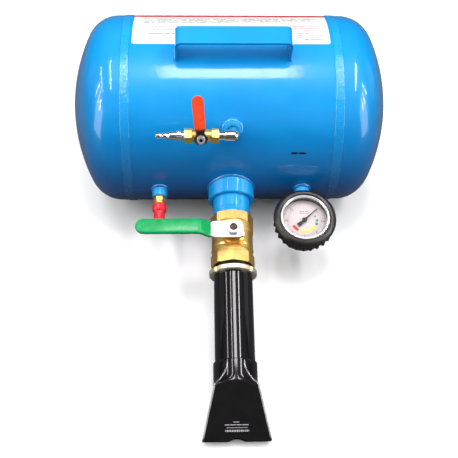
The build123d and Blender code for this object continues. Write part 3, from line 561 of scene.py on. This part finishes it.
verts, faces = [], []
NP = 2 * (NT + NS)
stations = []
for v, r in ((SLEEVE_AT + 0.0, 25.5), (SLEEVE_AT + 0.35, 26.0), (SLEEVE_AT + 1.0, SR)):
    stations.append(("r", v, r))
stations += [("o", SLEEVE_AT + 5 + 27 * k / 16, 0.0) for k in range(17)]
stations += [("f", k / 18, 0.0) for k in range(1, 19)]
outer_rows = len(stations)
inner = [("f", 1 - k / 10, 2.15) for k in range(0, 10)] + [("o", FLAT_AT + 1 - 6.0 * k / 3, 2.9) for k in range(1, 4)] + [("p", 262.0, 20.45), ("p", 254.3, 20.45), ("p", 254.0, 24.2), ("p", SLEEVE_AT, 24.2)]
stations += inner
for kind, a, b in stations:
    if kind in ("r", "p"):
        base_pts = nozzle_section(SLEEVE_AT)
        sc_ = b / SR
        for (x, w) in base_pts:
            verts.append(V(x * sc_, w * sc_, a))
    elif kind == "o":
        for (x, w) in nozzle_section(a, wall=b if b else 0.0):
            verts.append(V(x, w, a - (bow(x) * (a - SLEEVE_AT - 5) / 27 if not b and w > 0 else 0.0)))
    else:
        full = nozzle_section(FLAT_AT + a * (LIP_AT - FLAT_AT), wall=b)
        for (x, w) in full:
            end = LIP_AT - notch(x)
            start = FLAT_AT - (bow(x) if not b and w > 0 else 0.0)
            v = start + a * (end - start)
            verts.append(V(x, w, v))
faces = grid_faces(len(stations), NP)
last = (len(stations) - 1) * NP
for j in range(NP):
    faces.append((last + j, last + (j + 1) % NP, (j + 1) % NP, j))
noz = piece("nozzle_moulded", verts, faces, M["nozzle_black"], replaces=("nozzle",))
me = noz.data
att = me.attributes.new("bevel_weight_edge", "FLOAT", "EDGE")
crease_cols = {0, NT, NT + NS, 2 * NT + NS}
for e in me.edges:
    a, b = e.vertices
    if a % NP == b % NP and (a % NP) in crease_cols:
        row = min(a // NP, b // NP)
        if 3 <= row < outer_rows - 1:
            att.data[e.index].value = min(1.0, ((row - 3) / 14.0) ** 1.3 + 0.04)
    if a // NP == b // NP == outer_rows - 1:
        att.data[e.index].value = 0.45
bv = noz.modifiers.new("edge", "BEVEL")
bv.limit_method, bv.width, bv.segments, bv.use_clamp_overlap = "WEIGHT", 0.0024, 4, True
wn = noz.modifiers.new("normals", "WEIGHTED_NORMAL")
wn.keep_sharp = True
me.set_sharp_from_angle(angle=math.radians(50))

# fine moulded ridges along the creases and the fan's side edges
verts, faces = [], []
for sx in (-1, 1):
    line = []
    for k in range(0, 40):
        v = SLEEVE_AT + 1.5 + (FLAT_AT - SLEEVE_AT - 1.5) * k / 39
        pts_ = nozzle_section(v)
        x, w = pts_[0] if sx < 0 else pts_[NT]
        line.append((x, w, v - bow(x) * max(0.0, (v - SLEEVE_AT - 5)) / 27))
    for k in range(1, 31):
        v = FLAT_AT + (LIP_AT - 1.2 - FLAT_AT) * k / 30
        pts_ = nozzle_section(v)
        x, w = pts_[0] if sx < 0 else pts_[NT]
        line.append((x - sx * 0.9, w - 0.25, v))
    base, cols = len(verts), 10
    for i, (x, w, v) in enumerate(line):
        a, b = line[max(0, i - 1)], line[min(len(line) - 1, i + 1)]
        tx_, tv_ = b[0] - a[0], b[2] - a[2]
        L = math.hypot(tx_, tv_) or 1
        nx_, nv_ = tv_ / L, -tx_ / L
        r = 0.95 * min(1.0, 0.25 + i / 9) * (0.5 if i in (0, len(line) - 1) else 1)
        for j in range(cols):
            c = 2 * math.pi * j / cols
            verts.append(V(x + nx_ * r * math.cos(c), w - 0.15 + r * math.sin(c), v + nv_ * r * math.cos(c)))
    faces += grid_faces(len(line), cols, base)
    faces.append(tuple(range(base, base + cols)))
    faces.append(tuple(range(base + (len(line) - 1) * cols, base + len(line) * cols)))
# painted highlight: the ridges are light grey on the black moulding so each crease shows a bright line
piece("nozzle_crease_ridges", verts, faces, plastic("crease_ridges_painted_highlight", (0.10, 0.090, 0.085), (0.34, 0.31, 0.29), (0.14, 0.28), bump=0.1, scale=420, coat=1.0, bevel=0.0, spec=0.8, coat_ior=2.0))

# raised generic bars moulded near the lip
verts, faces = [], []


def panel_point(x, v, lift):
    """A point on the fan's upper face, lifted off it by lift mm."""
    k = (v - FLAT_AT) / (LIP_AT - FLAT_AT)
    xc = (SR - 0.15) + (40.0 - SR + 0.15) * k
    w = SR + (5.6 - SR) * k - 1.5 * (1 - k) + (1.5 * (1 - k) - 0.5 * math.sin(math.pi * k)) * (1 - (x / xc) ** 2)
    return V(x, w + lift, v)


def bar(x0, x1, v0, v1):
    """A moulded bar with a 26 degree back and a steep front."""
    global verts, faces
    base, n = len(verts), max(2, int((x1 - x0) / 2.5) + 1)
    h = (v1 - v0) * 0.86 * math.tan(math.radians(26))
    prof = [(0.0, -0.35), (0.0, 0.04), (0.83, h * 0.97), (0.88, h), (0.93, h * 0.93), (1.0, -0.35)]
    for i in range(n):
        x = x0 + (x1 - x0) * i / (n - 1)
        for q, lift in prof:
            verts.append(panel_point(x, v0 + (v1 - v0) * q, lift))
    faces += grid_faces(n, len(prof), base)
    faces.append(tuple(range(base, base + 6)))
    faces.append(tuple(range(base + (n - 1) * 6, base + n * 6)))


bar(-4.2, 2.6, 307.4, 308.8)
for x0, x1 in ((-14.0, -8.6), (-7.8, -1.4), (-0.6, 5.2), (6.0, 13.2)):
    bar(x0, x1, 310.2, 311.9)
bar(-12.0, 12.0, 313.4, 314.5)
x = -13.4
while x < 13.0:
    w_ = random.choice((1.1, 1.6, 2.1))
    bar(x, min(x + w_, 13.6), 316.0, 319.4)
    x += w_ + 0.7
piece("nozzle_raised_bars", verts, faces, M["nozzle_black"], sharp=60)

# ------------------------------------------------------------------ instruction label: film with generic print
label = Mat("printed_label", Coat_Weight=0.5, Coat_Roughness=0.12)
uvn = label.node("ShaderNodeSeparateXYZ")
label.t.links.new(label.co.outputs["UV"], uvn.inputs[0])
U, W_ = uvn.outputs[0], uvn.outputs[1]          # metres along the tank and round it, from the near edge
LINES = [  # (start, end of a print row round the label in mm, left, right in mm, red?)
    (7.4, 9.0, -96, -78, 0), (7.4, 9.0, 88, 116, 0), (10.6, 12.0, 60, 116, 0), (14.2, 16.0, -60, 116, 0), (18.2, 20.0, -112, 116, 0),
    (22.2, 24.0, 74, 116, 0), (26.2, 28.2, -110, 116, 1), (30.4, 32.4, -116, 116, 1), (34.6, 36.6, -104, 116, 1),
    (45.5, 47.3, -112, 60, 0), (49.7, 51.5, -112, 112, 0), (53.9, 55.7, -112, 104, 0), (58.1, 59.9, -112, 112, 0), (62.3, 64.1, -112, 104, 1),
    (70, 72, -112, 112, 1), (74.5, 76.5, -112, 96, 1), (84, 86, -112, 112, 0), (88.2, 90.2, -112, 112, 0), (92.4, 94.4, -112, 70, 0),
    (104, 108.5, -70, 70, 1), (114, 116, -112, 112, 0), (118.2, 120.2, -112, 112, 0), (122.4, 124.4, -112, 88, 0), (132, 134, -112, 112, 0), (136.2, 138.2, -112, 40, 0)]


def band(socket, lo, hi, soft=0.00012):
    b = label.math("MULTIPLY", label.math("SUBTRACT", hi, socket), 1 / soft, clamp=True)
    return label.math("MULTIPLY", label.math("MULTIPLY", label.math("SUBTRACT", socket, lo), 1 / soft, clamp=True), b)


def scaled_vec(sx, sy):
    c = label.node("ShaderNodeCombineXYZ")
    label.put(c.inputs[0], label.math("MULTIPLY", U, sx))
    label.put(c.inputs[1], label.math("MULTIPLY", W_, sy))
    return c.outputs[0]


row_id = label.math("FLOOR", label.math("MULTIPLY", label.math("SUBTRACT", W_, 0.0447), 1 / 0.0042))
wc = label.node("ShaderNodeCombineXYZ")      # words keep to their rows
label.put(wc.inputs[0], label.math("MULTIPLY", U, 190.0))
label.put(wc.inputs[1], label.math("MULTIPLY", row_id, 3.7))
strokes = label.noise(1.0, 1, 0.6, vec=scaled_vec(1500.0, 500.0))
words = label.noise(1.0, 0, 0.5, vec=wc.outputs[0])
ink = label.math("MULTIPLY", label.math("GREATER_THAN", strokes, 0.40), label.math("GREATER_THAN", words, 0.38))
grey_mask = red_mask = None
for lo, hi, l, r, red in LINES:
    box_ = label.math("MULTIPLY", band(W_, lo / 1000, hi / 1000), band(U, l / 1000, r / 1000))
    if red:
        red_mask = box_ if red_mask is None else label.math("ADD", red_mask, box_)
    else:
        grey_mask = box_ if grey_mask is None else label.math("ADD", grey_mask, box_)
white = label.ramp(label.noise(30, 4), (0.3, (0.80, 0.80, 0.78)), (0.7, (0.88, 0.88, 0.87)))
c1 = label.mix(label.math("MULTIPLY", label.math("MULTIPLY", grey_mask, ink), 0.95), white, (*rgb(52, 48, 52), 1))
c2 = label.mix(label.math("MULTIPLY", label.math("MULTIPLY", red_mask, ink), 0.95), c1, (*rgb(205, 60, 60), 1))
stripe = band(W_, 70.6 / 1000, 84.0 / 1000)
c3 = label.mix(stripe, c2, (*rgb(216, 40, 40), 1))
label.colour(c3)
label.rough(label.range(label.noise(90, 3), 0.24, 0.36))
label.bumps((label.noise(18, 2), 0.001, 0.12), (label.noise(600, 2), 0.0002, 0.06))

verts, faces, uvs = [], [], []
x0l, x1l, a0l, a1l = -125.0, 124.5, math.radians(96.3), math.radians(165.0)
nx, na = 44, 120
rc = 3.0
for layer, rad in ((0, RO + 0.3), (1, RO - 0.02)):
    for j in range(na + 1):
        s = (a1l - a0l) * RO * j / na
        total = (a1l - a0l) * RO
        inset = 0.0
        d = min(s, total - s)
        if d < rc:
            inset = rc - math.sqrt(max(0.0, rc * rc - (rc - d) ** 2))
        a = a0l + s / RO
        for i in range(nx + 1):
            x = (x0l + inset) + (x1l - x0l - 2 * inset) * i / nx
            edge = min(i, nx - i, j, na - j)
            lift = 0.0 if edge or layer else -0.08
            verts.append(D(x, -(rad + lift) * math.cos(a), (rad + lift) * math.sin(a)))
            uvs.append((x / 1000, s / 1000))
top = (nx + 1) * (na + 1)
faces = grid_faces(na + 1, nx + 1, 0, wrap_cols=False) + [tuple(reversed(f)) for f in grid_faces(na + 1, nx + 1, top, wrap_cols=False)]
rim = [i for i in range(nx + 1)] + [(nx + 1) * j + nx for j in range(1, na + 1)] + [(nx + 1) * na + i for i in range(nx - 1, -1, -1)] + [(nx + 1) * j for j in range(na - 1, 0, -1)]
for k in range(len(rim)):
    a, b = rim[k], rim[(k + 1) % len(rim)]
    faces.append((a, b, b + top, a + top))
lab = piece("label_film_printed", verts, faces, label.m, replaces=("instruction_label",), sharp=50)
uvl = lab.data.uv_layers.new(name="UVMap")
for lp in lab.data.loops:
    uvl.data[lp.index].uv = uvs[lp.vertex_index]

# small generic printed mark low on the front
verts, faces = [], []
for cx_, cw_ in ((78.5, 4.6), (88.8, 4.6)):
    n_ = 22
    for layer in (0, 1):
        base = len(verts)
        for k in range(n_):
            c = 2 * math.pi * k / n_
            qx = math.copysign(abs(math.cos(c)) ** 0.6, math.cos(c)) * cw_
            qa = math.copysign(abs(math.sin(c)) ** 0.6, math.sin(c)) * 1.5
            a = math.radians(30.0) + qa / RO
            r = RO + (0.07 if layer else -0.05)
            verts.append(D(cx_ + qx, -r * math.cos(a), r * math.sin(a)))
        faces.append(tuple(range(base, base + n_)))
    faces += grid_faces(2, n_, len(verts) - 2 * n_)
piece("printed_mark", verts, faces, plastic("mark_ink", (0.006, 0.006, 0.007), (0.012, 0.012, 0.014), (0.35, 0.5), bevel=0.0), smooth=False)

# ------------------------------------------------------------------ gauge: printed dial, marks, pointer and numbers
GX, GV = 93.6, 50.2


def G(x, y, z):
    return D(GX + x, -(RO + GV) + y, z)


def ring_sector(r0, r1, a0, a1, z, t=0.06, step=3.0):
    n = max(2, int(abs(a1 - a0) / step) + 1)
    base = len(verts)
    for i in range(n):
        a = math.radians(a0 + (a1 - a0) * i / (n - 1))
        for r, zz in ((r0, z - t), (r0, z), (r1, z), (r1, z - t)):
            verts.append(G(r * math.cos(a), r * math.sin(a), zz))
    faces.extend(grid_faces(n, 4, base))
    faces.append((base, base + 1, base + 2, base + 3))
    faces.append(tuple(base + (n - 1) * 4 + k for k in range(4)))


def tick(a, r0, r1, half, z, t=0.06):
    base = len(verts)
    a = math.radians(a)
    d, n = (math.cos(a), math.sin(a)), (-math.sin(a), math.cos(a))
    for zz in (z - t, z):
        for r, s in ((r0, -1), (r1, -1), (r1, 1), (r0, 1)):
            verts.append(G(d[0] * r + n[0] * s * half, d[1] * r + n[1] * s * half, zz))
    faces.extend([(base, base + 1, base + 2, base + 3), (base + 4, base + 5, base + 6, base + 7)])
    faces.extend([(base + k, base + (k + 1) % 4, base + 4 + (k + 1) % 4, base + 4 + k) for k in range(4)])


DZ = 4.87
INK = plastic("dial_ink_black", (0.02, 0.02, 0.022), (0.04, 0.038, 0.04), (0.4, 0.55), bump=0.05, bevel=0.0)
RED = plastic("dial_ink_red", rgb(206, 34, 44), rgb(222, 52, 58), (0.4, 0.55), bump=0.05, bevel=0.0)
YEL = plastic("dial_ink_yellow", rgb(214, 206, 60), rgb(226, 220, 92), (0.4, 0.55), bump=0.05, bevel=0.0)
GRN = plastic("dial_ink_green", rgb(20, 132, 116), rgb(36, 152, 134), (0.4, 0.55), bump=0.05, bevel=0.0)
verts, faces = [], []
ring_sector(13.8, 17.6, -156, -122, DZ)
piece("dial_band_red", verts, faces, RED, smooth=False)
verts, faces = [], []
ring_sector(13.6, 17.2, -118, -27, DZ)
piece("dial_band_yellow", verts, faces, YEL, smooth=False)
verts, faces = [], []
ring_sector(14.6, 18.2, -22, -9, DZ)
ring_sector(14.8, 18.0, -4, 8, DZ)
ring_sector(14.8, 17.0, 20, 28, DZ)
piece("dial_band_green", verts, faces, GRN, smooth=False)
verts, faces = [], []
for k in range(61):
    a = 43.0 - 270.0 * k / 60
    if k % 10 == 0:
        tick(a, 24.0, 27.6, 0.28, DZ)
    elif k % 5 == 0:
        tick(a, 25.2, 27.6, 0.18, DZ)
    else:
        tick(a, 26.2, 27.6, 0.09, DZ)
ring_sector(27.6, 27.85, -227, 43, DZ, step=4.0)
ring_sector(21.6, 21.75, -227, 43, DZ, step=4.0)
for dy in (10.6, 13.0):          # unreadable small print above the hub
    for dx in (-5.4, -3.2, -1.0, 2.2, 4.4):
        base = len(verts)
        for zz in (DZ - 0.06, DZ):
            for px, py in ((dx, dy), (dx + 1.5, dy), (dx + 1.5, dy + 0.9), (dx, dy + 0.9)):
                verts.append(G(px, py, zz))
        faces.extend([(base, base + 1, base + 2, base + 3), (base + 4, base + 5, base + 6, base + 7)])
        faces.extend([(base + q, base + (q + 1) % 4, base + 4 + (q + 1) % 4, base + 4 + q) for q in range(4)])
piece("dial_scale", verts, faces, INK, smooth=False)
verts, faces = [], []
for k in range(51):             # second, finer scale in red inside the first
    a = 43.0 - 270.0 * k / 50
    tick(a, 18.9 if k % 5 == 0 else 19.7, 20.6, 0.14, DZ)
piece("dial_scale_inner", verts, faces, RED, smooth=False)

# pointer: tapered blade, hub and wedge tail
verts, faces = [], []
PA = math.radians(43.0)
outline_p = [(23.4, 0.0), (23.0, 0.28), (10.0, 0.72), (3.2, 1.15), (1.9, 2.7), (0.0, 3.3), (-1.9, 2.7), (-3.4, 1.3), (-7.6, 2.5), (-11.3, 2.9), (-11.5, 0.0)]
outline_p += [(a, -b) for a, b in reversed(outline_p[1:-1])]
PZ0, PZ1 = 8.0, 8.5
inner_p = [(a - math.copysign(0.16, a) if abs(a) > 4 else a * 0.93, b * 0.86) for a, b in outline_p]
np_ = len(outline_p)
for zz, ol in ((PZ0, inner_p), (PZ0 + 0.12, outline_p), (PZ1 - 0.12, outline_p), (PZ1, inner_p)):
    for a, b in ol:
        verts.append(G(a * math.cos(PA) - b * math.sin(PA), a * math.sin(PA) + b * math.cos(PA), zz))
faces = grid_faces(4, np_) + [tuple(range(np_)), tuple(range(3 * np_, 4 * np_))]
base = len(verts)
for r_c, z_c in ((2.6, PZ1 - 0.1), (2.6, 8.75), (2.3, 8.9), (1.0, 8.9), (0.8, 8.8)):
    for k in range(28):
        c = 2 * math.pi * k / 28
        verts.append(G(r_c * math.cos(c), r_c * math.sin(c), z_c))
faces += grid_faces(5, 28, base) + [tuple(range(base, base + 28)), tuple(range(base + 112, base + 140))]
piece("gauge_pointer_blade", verts, faces, M["pointer_black"], body="gauge_pointer", replaces=("gauge_pointer",), smooth=False)

# numbers on the dial, the right way up from behind the tank as the rest of the print is
for k in range(7):
    cu = bpy.data.curves.new("num", "FONT")
    cu.body, cu.size, cu.align_x, cu.align_y, cu.extrude, cu.resolution_u = str(2 * k), 0.0042, "CENTER", "CENTER", 0.00003, 3
    tmp = bpy.data.objects.new("num", cu)
    scene.collection.objects.link(tmp)
    bpy.context.view_layer.update()
    nm = bpy.data.meshes.new_from_object(tmp)
    bpy.data.objects.remove(tmp)
    a = math.radians(43.0 - 270.0 * k / 6)
    for v_ in nm.vertices:
        px, py, pz = -v_.co.x * 1000, -v_.co.y * 1000, v_.co.z * 1000
        v_.co = G(23.0 * math.cos(a) * 0.97 + px, 23.0 * math.sin(a) * 0.97 + py, DZ - 0.03 + pz)
    nm.materials.clear()
    nm.materials.append(INK)
    ob = bpy.data.objects.new(f"dial_number_{2 * k}", nm)
    scene.collection.objects.link(ob)
    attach(ob, "tank")

# ------------------------------------------------------------------ dipped sleeves: thick soft-edged vinyl


def lofted_sleeve(name, path, widths, thick, to_row, material, body, node, power=3.2, n=28, tip=True):
    """A superelliptic skin along path [(s, z)], half-widths per point and half-thickness; a domed tip comes from the
    half-widths and half-thickness given; tip is not used.
    """
    verts_, faces_ = [], []
    rows_ = []
    m_ = len(path)
    for i, ((s, z), hw_, ht) in enumerate(zip(path, widths, thick)):
        p0, p1 = path[max(0, i - 1)], path[min(m_ - 1, i + 1)]
        tx_, tz_ = p1[0] - p0[0], p1[1] - p0[1]
        L = math.hypot(tx_, tz_) or 1.0
        nx_, nz_ = -tz_ / L, tx_ / L
        if nz_ < 0:
            nx_, nz_ = -nx_, -nz_
        row_ = []
        for k in range(n):
            a = 2 * math.pi * k / n
            c, s_ = math.cos(a), math.sin(a)
            q = math.copysign(abs(c) ** (2 / power), c) * hw_
            h = math.copysign(abs(s_) ** (2 / power), s_) * ht
            row_.append((s + nx_ * h, q, z + nz_ * h))
        rows_.append(row_)
    for row_ in rows_:
        verts_ += [to_row(*p) for p in row_]
    faces_ = grid_faces(len(rows_), n)
    faces_.append(tuple(range(n)))
    faces_.append(tuple(range((len(rows_) - 1) * n, len(rows_) * n)))
    ob_ = piece(name, verts_, faces_, material, body=body, replaces=(node,))
    sb = ob_.modifiers.new("smooth", "SUBSURF")
    sb.levels = sb.render_levels = 1
    return ob_


# green sleeve: from the plate up the crank and out along the grip (local s along -X, z = W)
BV = 79.2
path, widths, thick = [], [], []
pts = [(27.6, 42.8), (28.0, 42.8), (29.0, 42.95), (31.0, 44.0), (34.0, 46.4), (37.0, 49.2), (39.6, 51.2), (42.0, 52.1), (45.0, 52.3), (60.0, 52.3), (80.0, 52.3), (98.0, 52.3), (106.0, 52.3), (110.5, 52.3), (113.8, 52.3), (116.4, 52.3), (118.3, 52.3), (119.3, 52.3), (119.6, 52.3)]
for s, z in pts:
    path.append((-s, z))
    d = max(0.0, s - 109.8)
    hw_ = 9.8 if s > 41 else 10.6 + (9.8 - 10.6) * max(0.0, (s - 30) / 11) if s > 30 else 10.6
    if d:
        hw_ = 9.8 * math.sqrt(max(0.03, 1 - (d / 9.85) ** 2))
    if s < 28.0:
        hw_ -= 0.5
    widths.append(hw_)
    ht = 3.2 if s >= 28.0 else 2.6
    if s > 117.5:
        ht = 3.2 * math.sqrt(max(0.05, 1 - ((s - 117.5) / 2.15) ** 2))
    thick.append(ht)
lofted_sleeve("green_dip_sleeve", path, widths, thick, lambda s, q, z: V(s, z, BV + q), M["sleeve_green"], "outlet_valve_lever", "main_valve_lever_sleeve", power=4.0, n=36)

# ------------------------------------------------------------------ relief spring: round wire with closed ends
verts, faces = [], []
turns, wire_r, coil_r, seg, ring_k = 6.4, 0.5, 3.2, 300, 10
z_at = lambda q: 12.1 + 16.2 * (q + 0.035 * math.sin(4 * math.pi * q) * -1)
for i in range(seg + 1):
    q = i / seg
    a = 2 * math.pi * turns * q
    ca, sa = math.cos(a), math.sin(a)
    r = wire_r * (0.35 if i in (0, seg) else 1.0)
    for k in range(ring_k):
        c = 2 * math.pi * k / ring_k
        rr_c = coil_r + r * math.cos(c)
        verts.append(V(-93.7 + rr_c * ca, rr_c * sa, z_at(q) + r * math.sin(c)))
faces = grid_faces(seg + 1, ring_k) + [tuple(range(ring_k)), tuple(range(seg * ring_k, (seg + 1) * ring_k))]
spring = piece("relief_spring_coil", verts, faces, M["spring_steel"], replaces=("relief_spring",))
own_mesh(spring)

# ------------------------------------------------------------------ floor, light, camera
me = bpy.data.meshes.new("floor")
n = 24
fv = [(-15 + 30 * i / n, -15 + 30 * j / n, -0.0002) for j in range(n + 1) for i in range(n + 1)]
me.from_pydata(fv, [], grid_faces(n + 1, n + 1, 0, wrap_cols=False))
floor = bpy.data.objects.new("floor", me)
scene.collection.objects.link(floor)
fm = bpy.data.materials.new("studio_floor")
fm.use_nodes = True
t = fm.node_tree
t.nodes.clear()
out, mixs, d1, d2, lp = (t.nodes.new("ShaderNode" + k) for k in ("OutputMaterial", "MixShader", "BsdfDiffuse", "BsdfDiffuse", "LightPath"))
d1.inputs["Color"].default_value = (0.10, 0.10, 0.11, 1)     # what the object sees of the studio floor
d2.inputs["Color"].default_value = (0.93, 0.93, 0.93, 1)
t.links.new(lp.outputs["Is Camera Ray"], mixs.inputs[0])
t.links.new(d1.outputs[0], mixs.inputs[1])
em, far, pos, dist, fade = (t.nodes.new("ShaderNode" + k) for k in ("Emission", "MixShader", "NewGeometry", "VectorMath", "MapRange"))
em.inputs["Color"].default_value, em.inputs["Strength"].default_value = (0.97, 0.97, 0.97, 1), 1.0
dist.operation = "LENGTH"
fade.inputs["From Min"].default_value, fade.inputs["From Max"].default_value = 0.9, 2.2
t.links.new(pos.outputs["Position"], dist.inputs[0])
t.links.new(dist.outputs["Value"], fade.inputs["Value"])
t.links.new(fade.outputs["Result"], far.inputs[0])
t.links.new(d2.outputs[0], far.inputs[1])
t.links.new(em.outputs[0], far.inputs[2])
t.links.new(far.outputs[0], mixs.inputs[2])
t.links.new(mixs.outputs[0], out.inputs[0])
me.materials.append(fm)
floor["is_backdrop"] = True

world = bpy.data.worlds.new("studio")
scene.world = world
world.use_nodes = True
t = world.node_tree
t.nodes.clear()
out, bg1, bg2, mixs, lp, tc, sep, up1, up2 = (t.nodes.new("ShaderNode" + k) for k in ("OutputWorld", "Background", "Background", "MixShader", "LightPath", "TexCoord", "SeparateXYZ", "ValToRGB", "ValToRGB"))
t.links.new(tc.outputs["Generated"], sep.inputs[0])
for ramp_, stops in ((up1, ((0.0, 0.16), (0.30, 0.42), (0.62, 1.30), (1.0, 1.42))), (up2, ((0.0, 0.05), (0.35, 0.08), (0.75, 0.19), (1.0, 0.22)))):
    el = ramp_.color_ramp.elements
    while len(el) < len(stops):
        el.new(0.5)
    for i, (p_, c_) in enumerate(stops):
        el[i].position, el[i].color = p_, (c_, c_, c_, 1.0)
    t.links.new(sep.outputs[2], ramp_.inputs[0])
t.links.new(up1.outputs[0], bg1.inputs["Color"])
t.links.new(up2.outputs[0], bg2.inputs["Color"])
bg1.inputs["Strength"].default_value = 0.50
bg2.inputs["Strength"].default_value = 1.0
t.links.new(lp.outputs["Is Glossy Ray"], mixs.inputs[0])
t.links.new(bg1.outputs[0], mixs.inputs[1])
t.links.new(bg2.outputs[0], mixs.inputs[2])
bg3, mix3 = t.nodes.new("ShaderNodeBackground"), t.nodes.new("ShaderNodeMixShader")
bg3.inputs["Color"].default_value, bg3.inputs["Strength"].default_value = (0.97, 0.97, 0.97, 1), 1.0
t.links.new(lp.outputs["Is Camera Ray"], mix3.inputs[0])
t.links.new(mixs.outputs[0], mix3.inputs[1])
t.links.new(bg3.outputs[0], mix3.inputs[2])
t.links.new(mix3.outputs[0], out.inputs[0])


def panel(name, at, size, power, to=(0, 0, 0.1), colour=(1, 1, 1)):
    li = bpy.data.lights.new(name, "AREA")
    li.shape, li.size, li.size_y, li.energy, li.color = "RECTANGLE", size[0], size[1], power, colour
    ob = bpy.data.objects.new(name, li)
    ob.location = at
    d = Vector(to) - Vector(at)
    ob.rotation_euler = d.to_track_quat("-Z", "Y").to_euler()
    scene.collection.objects.link(ob)
    return ob


def down(name, at, size, power, colour=(1, 1, 1)):
    ob = panel(name, at, size, power, (at[0], at[1], at[2] - 1), colour)
    ob.rotation_euler = (0, 0, 0)
    return ob


down("softbox_top", (0.05, 0.01, 1.70), (0.42, 0.42), 9.0, colour=(1.0, 0.95, 0.99))
down("softbox_top_gloss", (0.05, 0.01, 1.70), (0.42, 0.42), 4.5, colour=(1.0, 0.95, 0.99)).visible_diffuse = False
down("strip_right", (0.86, -0.10, 1.70), (0.16, 1.10), 14.0)
down("strip_left", (-0.50, -0.10, 1.70), (0.05, 1.10), 5.5)
down("strip_left_far", (-1.45, -0.10, 1.70), (0.14, 1.10), 9.0)
for sx in (-1, 1):
    for k_, dy in enumerate((-0.55, -0.25, 0.05)):
        panel(f"side_strip_{'l' if sx < 0 else 'r'}{k_}", (sx * 1.55, dy - 0.2, 1.15), (0.07, 0.55), 3.4, to=(sx * 0.16, 0.1, 0.15))
for sx in (-1, 1):      # tall cards that only show in the gloss, low at the sides in front
    card = panel(f"side_card_{'l' if sx < 0 else 'r'}", (sx * 1.30, -0.62, 0.50), (0.62, 0.95), 8.0, to=(0, -0.25, 0.05))
    card.visible_diffuse = False
    card = panel(f"far_card_{'l' if sx < 0 else 'r'}", (sx * 1.60, 0.55, 0.55), (0.60, 0.90), 0.9 if sx > 0 else 0.5, to=(0, 0.0, 0.1))
    card.visible_diffuse = False
for li_ in (panel("front_fill", (0.5, -1.9, 1.3), (0.9, 0.6), 5.0), panel("back_fill", (-0.6, 1.9, 1.5), (1.4, 0.8), 12.0)):
    li_.visible_glossy = False

cam = bpy.data.cameras.new("camera")
co = bpy.data.objects.new("camera", cam)
scene.collection.objects.link(co)
e_, a_, r_ = 1.13266, -0.081119, 0.067417
back = Vector((math.sin(a_) * math.cos(e_), -math.cos(a_) * math.cos(e_), math.sin(e_)))
fwd = -back
right = fwd.cross(Vector((0, 0, 1))).normalized()
up = right.cross(fwd)
r2 = math.cos(r_) * right + math.sin(r_) * up
u2 = -math.sin(r_) * right + math.cos(r_) * up
turn = Matrix(((1, 0, 0), (0, CT, -ST), (0, ST, CT)))
r2, u2, b2 = turn @ r2, turn @ u2, turn @ back
co.matrix_world = Matrix(((r2.x, u2.x, b2.x, 0), (r2.y, u2.y, b2.y, 0), (r2.z, u2.z, b2.z, 0), (0, 0, 0, 1)))
co.location = D(-38.66, -612.71, 918.26)
cam.sensor_fit, cam.sensor_width = "HORIZONTAL", 36.0
cam.lens = 786.829 / 458 * 36
cam.clip_start, cam.clip_end = 0.01, 50
scene.camera = co
scene.view_settings.view_transform = "Standard"
scene.view_settings.look = "None"

lo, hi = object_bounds()
